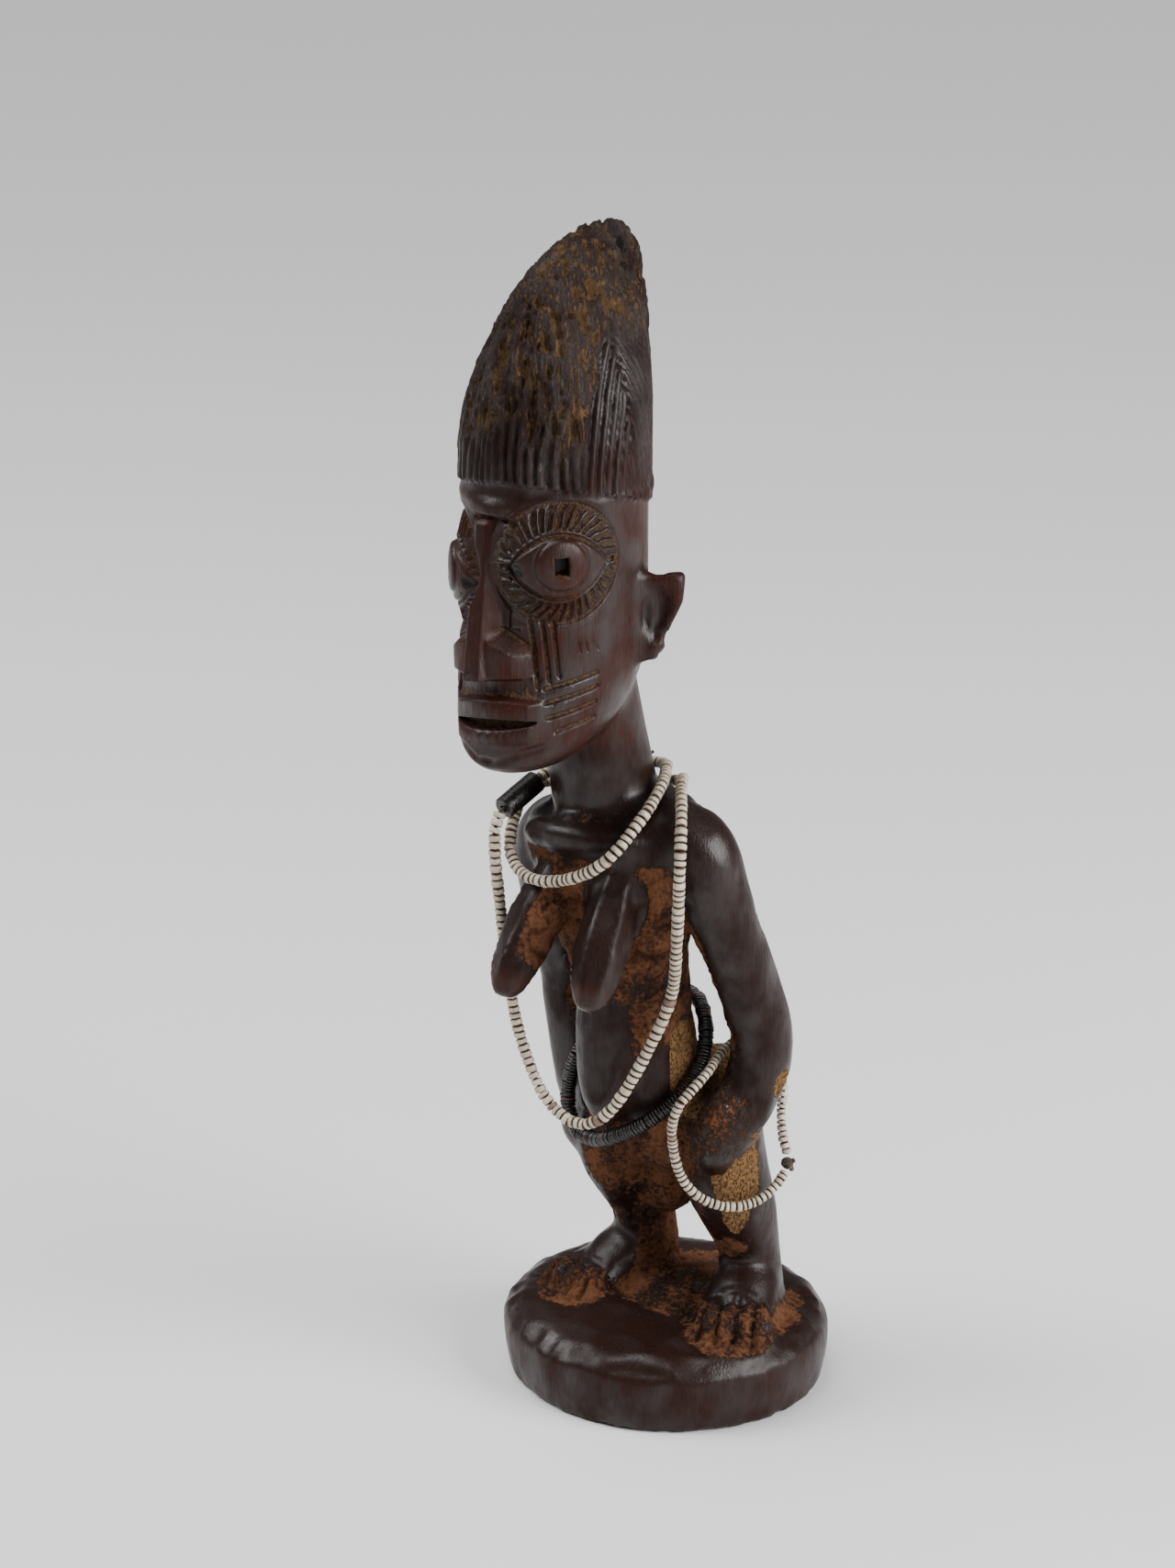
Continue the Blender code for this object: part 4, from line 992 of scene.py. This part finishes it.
class DOLL_OT_carved_figure(Operator):
    """Carve the figure and its base, one block of wood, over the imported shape"""
    bl_idname = "doll.carved_figure"
    bl_label = "Carved figure"

    def execute(self, context):
        look = context.scene.doll_carving
        mesh = fine_copy("figure", look.mesh_size)
        coarse = Carving(mesh)
        coarse_hidden = shelter(coarse)
        tree = search_tree(coarse.at)

        # Finer spacing on the hair and the face, and finer again on the eyes, nose and mouth.
        x, y, z = coarse.at.T
        head = (z > 165.0) & (np.hypot(x - HEAD_X, y - HEAD_Y) < 60.0)
        face = (y < HEAD_Y + 3.0) & (z < 224.0)
        refine(mesh, head & ((z > 217.0) | face))
        _, y, z = Carving(mesh).at.T
        refine(mesh, (z > 168.0) & (z < 226.0) & (y < HEAD_Y - 4.0))
        carving = Carving(mesh)
        hidden = np.array([coarse_hidden[tree.find(spot)[1]] for spot in carving.at])

        tool_marks(carving, look.tool_mark / MM, depth=0.34)
        plane_hair(carving, look)
        carve_nose_and_mouth(carving)
        carving.turn()
        for side in (1, -1):
            carve_eye(carving, look, side)
        carving.turn()
        carve_marks(carving)
        carve_ears(carving)
        carve_feet_and_hands(carving)
        plane_base(carving)
        cake_with_camwood(carving, hidden, facet_breasts(carving))
        z = carving.at[:, 2]
        carving.dust("warm", 0.65 * ramp(z, 160.0, 168.0) * ramp(z, 226.0, 222.0))
        carving.store()
        count = sum(len(face.vertices) - 2 for face in mesh.polygons)
        mesh = after_modifiers(mesh, ("DECIMATE", {"ratio": min(1.0, look.triangles / count)}))
        mesh.shade_smooth()
        mesh.name = "carved_figure"
        add_piece("carved_figure", mesh, handled_wood(look), "figure", "dark_wood", "figure")
        return {"FINISHED"}


# ---- strings of beads -----------------------------------------------------------
def thread_curve(name, points, diameter):
    """A round thread through points in millimetres; its diameter is in metres."""
    curve = bpy.data.curves.new(name, "CURVE")
    curve.dimensions = "3D"
    curve.bevel_depth = diameter / 2
    curve.bevel_resolution = 2
    curve.use_fill_caps = True
    spline = curve.splines.new("POLY")
    spline.points.add(len(points) - 1)
    for spot, point in zip(spline.points, points):
        spot.co = (*(Vector(point) * MM), 1.0)
    return curve


def turned(profile, sides):
    """A solid with a bore: a closed profile of radius and height, spun round its axis."""
    bead = bmesh.new()
    verts = [bead.verts.new((across, 0.0, along)) for across, along in profile]
    edges = [bead.edges.new((a, b)) for a, b in zip(verts, verts[1:] + verts[:1])]
    bmesh.ops.spin(bead, geom=verts + edges, cent=(0, 0, 0), axis=(0, 0, 1), dvec=(0, 0, 0),
                   angle=math.tau, steps=sides, use_merge=True, use_duplicate=False)
    bmesh.ops.remove_doubles(bead, verts=bead.verts, dist=1e-7)
    bmesh.ops.recalc_face_normals(bead, faces=bead.faces)
    return bead


def drilled_disc(radius, half, bore):
    """One disc bead with rubbed edges; half is half its thickness."""
    edge = min(half * 0.45, radius * 0.16)
    return turned([(bore, -half), (radius - edge, -half), (radius, -half + edge),
                   (radius, half - edge), (radius - edge, half), (bore, half)], sides=12)


def string_beads(name, points, look, diameter, pitch, tilt, seed):
    """Discs side by side along a route; each has its own size, tilt and tint."""
    draw = random.Random(seed)
    pitch = pitch / MM
    end_gap, side_gap = 0.05, 0.11 * pitch
    bore = look.thread / 2 * 1.15
    total = route_length(points)
    lengths = []
    while sum(lengths) < total - 0.6 * pitch:
        lengths.append(pitch * draw.uniform(0.8, 1.22))
    scale = (total - 2 * end_gap) / sum(lengths)
    start = end_gap
    whole = bmesh.new()
    tint_layer = whole.verts.layers.float.new("tint")
    rim_layer = whole.verts.layers.float.new("rim")
    for bead_length in lengths:
        bead_length *= scale
        spot, along = spot_on(points, start + bead_length / 2)
        start += bead_length
        half = (bead_length / 2 - side_gap) * MM
        radius = diameter / 2 * draw.uniform(0.92, 1.05)
        disc = finished_mesh(drilled_disc(radius, half, bore), "disc")
        old = len(whole.verts)
        whole.from_mesh(disc)
        bpy.data.meshes.remove(disc)
        whole.verts.ensure_lookup_table()
        fresh = whole.verts[old:]
        tint = draw.random()
        for vert in fresh:
            vert[tint_layer] = tint
            # Marks the faces that touch the neighbouring discs, which take the edge colour.
            vert[rim_layer] = 1.0 if abs(vert.co.z) > half * 0.9 else 0.0
        lean = Vector((draw.uniform(-tilt, tilt), draw.uniform(-tilt, tilt), 1.0))
        turn = along.to_track_quat("Z", "Y") @ lean.to_track_quat("Z", "Y")
        place = Matrix.Translation(spot * MM) @ turn.to_matrix().to_4x4()
        bmesh.ops.transform(whole, matrix=place, verts=fresh)
    return finished_mesh(whole, name, sharp=50)


def spot_on(points, wanted):
    """The point at that distance along the route, and the route's direction there."""
    for here, there in zip(points, points[1:]):
        step = (there - here).length
        if wanted <= step or there is points[-1]:
            return here.lerp(there, wanted / step), (there - here).normalized()
        wanted -= step


def knot_mesh(name, centre, along, radius, thread, tails, seed):
    """A thread wound three times round the strand and pulled tight, with its two cut ends."""
    draw = random.Random(seed)
    turn = along.to_track_quat("Z", "Y")
    turns, steps = 3, 48
    coil = []
    for step in range(steps + 1):
        share = step / steps
        wide = radius * (0.42 + 0.3 * math.sin(share * math.pi))
        angle = turns * math.tau * share
        height = radius * (1.1 * share - 0.55)
        coil.append(turn @ Vector((wide * math.cos(angle), wide * math.sin(angle), height))
                    + Vector(centre))
    strands = [coil]
    for tail in tails:
        start = Vector(centre)
        stray = Vector([draw.uniform(-0.4, 0.4) for _ in range(3)])
        strands.append(smooth_route([start, start + Vector(tail) * 0.5 + stray,
                                     start + Vector(tail)], 12))
    whole = bmesh.new()
    for strand in strands:
        mesh = after_modifiers(thread_curve("strand", strand, thread))
        whole.from_mesh(mesh)
        bpy.data.meshes.remove(mesh)
    bmesh.ops.remove_doubles(whole, verts=whole.verts, dist=1e-7)
    return finished_mesh(whole, name)


def bead_runs(name, points, count, body, slot, material, look, diameter, pitch, tilt, seed):
    """Strings the runs of one strand, each between the thread's own points."""
    runs = []
    for run in range(count):
        first, last = [round((len(points) - 1) * end / count) for end in (run, run + 1)]
        node = f"{name}_{run + 1:02d}"
        data = string_beads(f"{node}_discs", points[first:last + 1], look, diameter, pitch, tilt,
                            seed + run)
        runs.append(add_piece(f"{node}_discs", data, material, body, slot, node))
    return runs


def tie_strand(name, place, route, body, look, knot, pieces):
    """Lays the thread under its pieces, ties its knot and adds the knot to the pieces."""
    yarn = cotton(look)
    thread = add_piece(f"{name}_thread", thread_curve(f"{name}_thread", route, look.thread),
                       yarn, body, "brown_yarn", f"{place}_thread")
    pieces.append(add_piece(f"{name}_knot", knot, yarn, body, "brown_yarn", f"{place}_knot"))


class DOLL_OT_neck_string(Operator):
    """String the pale discs and the tube bead on the thread round the neck"""
    bl_idname = "doll.neck_string"
    bl_label = "Neck string"

    def execute(self, context):
        look = context.scene.doll_beads
        turns = smooth_route(NECK_TURNS, NECK_POINTS, NECK_RETURN[0])
        back = smooth_route(NECK_RETURN[::-1], RETURN_POINTS, NECK_TURNS[-1])[::-1]
        pale = disc_bead("drilled shell discs, rubbed", look.ivory, look.stain, look.stain, gloss=0.35)
        route = turns + back
        pieces = bead_runs("neck_beads", turns, NECK_RUNS, "neck_strand", "ivory_bead", pale, look,
                           look.neck, look.neck_pitch, tilt=0.07, seed=40)
        pieces += bead_runs("neck_return_beads", back, 1, "neck_strand", "ivory_bead", pale, look,
                            look.neck, look.neck_pitch, tilt=0.07, seed=60)
        knot = knot_mesh("neck_string_knot", NECK_KNOT, route[1] - route[0], radius=1.3,
                         thread=look.thread * 0.9,
                         tails=[(-1.5, 3.0, -2.0), (1.5, 2.6, 1.6)], seed=70)
        pieces.append(self.tube_bead(look, turns[-1], back[0]))
        tie_strand("neck_string", "neck", route, "neck_strand", look, knot, pieces)
        return {"FINISHED"}

    def tube_bead(self, look, low, high):
        """A moulded black tube with broken arrises and an open bore, between two points."""
        along = high - low
        end_gap = 1.1
        half = (along.length / 2 - end_gap) * MM
        radius = look.tube / 2
        bore = look.thread
        lip = 0.35 * MM
        bead = turned([(bore, -half), (radius - lip, -half), (radius, -half + lip),
                       (radius * 1.015, 0.0), (radius, half - lip), (radius - lip, half),
                       (bore, half)], sides=32)
        turn = along.to_track_quat("Z", "Y").to_matrix().to_4x4()
        place = Matrix.Translation((low + high) / 2 * MM) @ turn
        bmesh.ops.transform(bead, matrix=place, verts=bead.verts)
        data = finished_mesh(bead, "black_tube_bead", sharp=40)
        black = disc_bead("black horn tube, satin", look.black, look.black, look.black,
                          gloss=0.22)
        return add_piece("black_tube_bead", data, black, "tube_bead", "black_bead", "tube_bead")


class DOLL_OT_waist_strand(Operator):
    """String the thin black discs round the waist"""
    bl_idname = "doll.waist_strand"
    bl_label = "Waist strand"

    def execute(self, context):
        look = context.scene.doll_beads
        route = smooth_route(WAIST_ROUTE, WAIST_POINTS)
        dark = disc_bead("coconut shell discs, oiled", look.black, look.black_edge, look.red,
                         gloss=0.24)
        pieces = bead_runs("waist_beads", route, WAIST_RUNS, "figure", "black_bead", dark, look,
                           look.waist, look.waist_pitch, tilt=0.05, seed=80)
        knot = knot_mesh("waist_strand_knot", WAIST_KNOT, route[1] - route[0], radius=1.1,
                         thread=look.thread * 0.9, tails=[(1.0, 3.0, -1.6)], seed=90)
        tie_strand("waist_strand", "waist", route, "figure", look, knot, pieces)
        return {"FINISHED"}


class DOLL_OT_wrist_strand(Operator):
    """String the small pale discs round the left wrist"""
    bl_idname = "doll.wrist_strand"
    bl_label = "Wrist strand"

    def execute(self, context):
        look = context.scene.doll_beads
        route = smooth_route(WRIST_ROUTE, WRIST_POINTS)
        pale = disc_bead("small shell discs, rubbed", look.ivory, look.stain, look.stain, gloss=0.35)
        pieces = bead_runs("wrist_beads", route, WRIST_RUNS, "wrist_strand", "ivory_bead", pale, look,
                           look.wrist, look.wrist_pitch, tilt=0.07, seed=100)
        knot = knot_mesh("wrist_strand_knot", WRIST_KNOT, route[1] - route[0], radius=1.35,
                         thread=look.thread * 1.35,
                         tails=[(0.5, 1.2, -1.9), (1.5, 0.8, 0.9)], seed=110)
        tie_strand("wrist_strand", "wrist", route, "wrist_strand", look, knot, pieces)
        return {"FINISHED"}


# ---- studio ---------------------------------------------------------------------
VIEW_TURN = math.radians(36.0)      # the camera stands this far round to the figure's left
VIEW_RISE = math.radians(18.74)     # and looks down by this much
VIEW_FAR = 0.9                      # metres from the camera to what it aims at
AIM_HEIGHT, AIM_ASIDE = 0.14744, 0.01878


class DOLL_OT_studio(Operator):
    """Set up the camera, the paper floor and the soft lamps"""
    bl_idname = "doll.studio"
    bl_label = "Studio"

    def execute(self, context):
        look = context.scene.doll_studio
        aside = Vector((math.cos(VIEW_TURN), math.sin(VIEW_TURN), 0.0))
        back = Vector((math.sin(VIEW_TURN) * math.cos(VIEW_RISE),
                       -math.cos(VIEW_TURN) * math.cos(VIEW_RISE), math.sin(VIEW_RISE)))
        aim = Vector((0.0, 0.0, AIM_HEIGHT)) - aside * AIM_ASIDE
        lens = bpy.data.cameras.new("camera")
        lens.lens = 89.8
        lens.sensor_width = 36.0
        lens.clip_start = 0.01
        lens.clip_end = 50.0
        context.scene.camera = self.stand("camera", lens, aim + back * VIEW_FAR, -back)

        ground = bmesh.new()
        bmesh.ops.create_grid(ground, x_segments=2, y_segments=2, size=8.0)
        bmesh.ops.translate(ground, vec=(0.0, 0.0, -0.2 * MM), verts=ground.verts)
        data = finished_mesh(ground, "paper_floor")
        data.materials.append(paper(look))
        floor = bpy.data.objects.new("paper_floor", data)
        context.scene.collection.objects.link(floor)

        middle = Vector((0.0, 0.0, 0.13))
        for name, place, size, power in (("key", (-0.75, -0.55, 0.95), 0.7, look.key),
                                         ("side", (0.95, 0.1, 0.55), 0.8, look.rim)):
            light = bpy.data.lights.new(name, "AREA")
            light.shape = "DISK"
            light.size = size
            light.energy = power
            self.stand(name, light, place, middle - Vector(place))
        overhead = bpy.data.lights.new("overhead", "SUN")
        overhead.energy = look.sun
        overhead.angle = math.radians(40.0)
        self.stand("overhead", overhead, (0.0, 0.0, 1.0), Vector((0.25, 0.15, -1.0)))

        world = bpy.data.worlds.new("even light")
        world.use_nodes = True
        sky = world.node_tree.nodes["Background"]
        sky.inputs["Color"].default_value = (1.0, 1.0, 1.0, 1.0)
        sky.inputs["Strength"].default_value = look.sky
        context.scene.world = world
        return {"FINISHED"}

    def stand(self, name, data, place, toward):
        """Stands a lamp or the camera at a place, pointing along a direction."""
        item = bpy.data.objects.new(name, data)
        item.location = place
        item.rotation_mode = "QUATERNION"
        item.rotation_quaternion = toward.to_track_quat("-Z", "Y")
        bpy.context.scene.collection.objects.link(item)
        return item


class DOLL_PT_panel(Panel):
    """Lists the steps that build the doll"""
    bl_label = "Carved doll"
    bl_space_type = "VIEW_3D"
    bl_region_type = "UI"
    bl_category = "Doll"

    def draw(self, context):
        for step in STEPS:
            self.layout.operator(step.bl_idname)


STEPS = (DOLL_OT_studio, DOLL_OT_neck_string, DOLL_OT_waist_strand, DOLL_OT_wrist_strand,
         DOLL_OT_carved_figure)
SETTINGS = {"doll_carving": DollCarvingSettings, "doll_beads": DollBeadSettings,
            "doll_studio": DollStudioSettings}


def register():
    for name, group in SETTINGS.items():
        bpy.utils.register_class(group)
        setattr(bpy.types.Scene, name, PointerProperty(type=group))
    for item in (*STEPS, DOLL_PT_panel):
        bpy.utils.register_class(item)


def unregister():
    for item in (DOLL_PT_panel, *STEPS):
        bpy.utils.unregister_class(item)
    for name, group in SETTINGS.items():
        delattr(bpy.types.Scene, name)
        bpy.utils.unregister_class(group)


def main():
    register()
    bpy.ops.doll.studio()
    bpy.ops.doll.neck_string()
    bpy.ops.doll.waist_strand()
    bpy.ops.doll.wrist_strand()
    bpy.ops.doll.carved_figure()


if __name__ == "__main__":
    main()
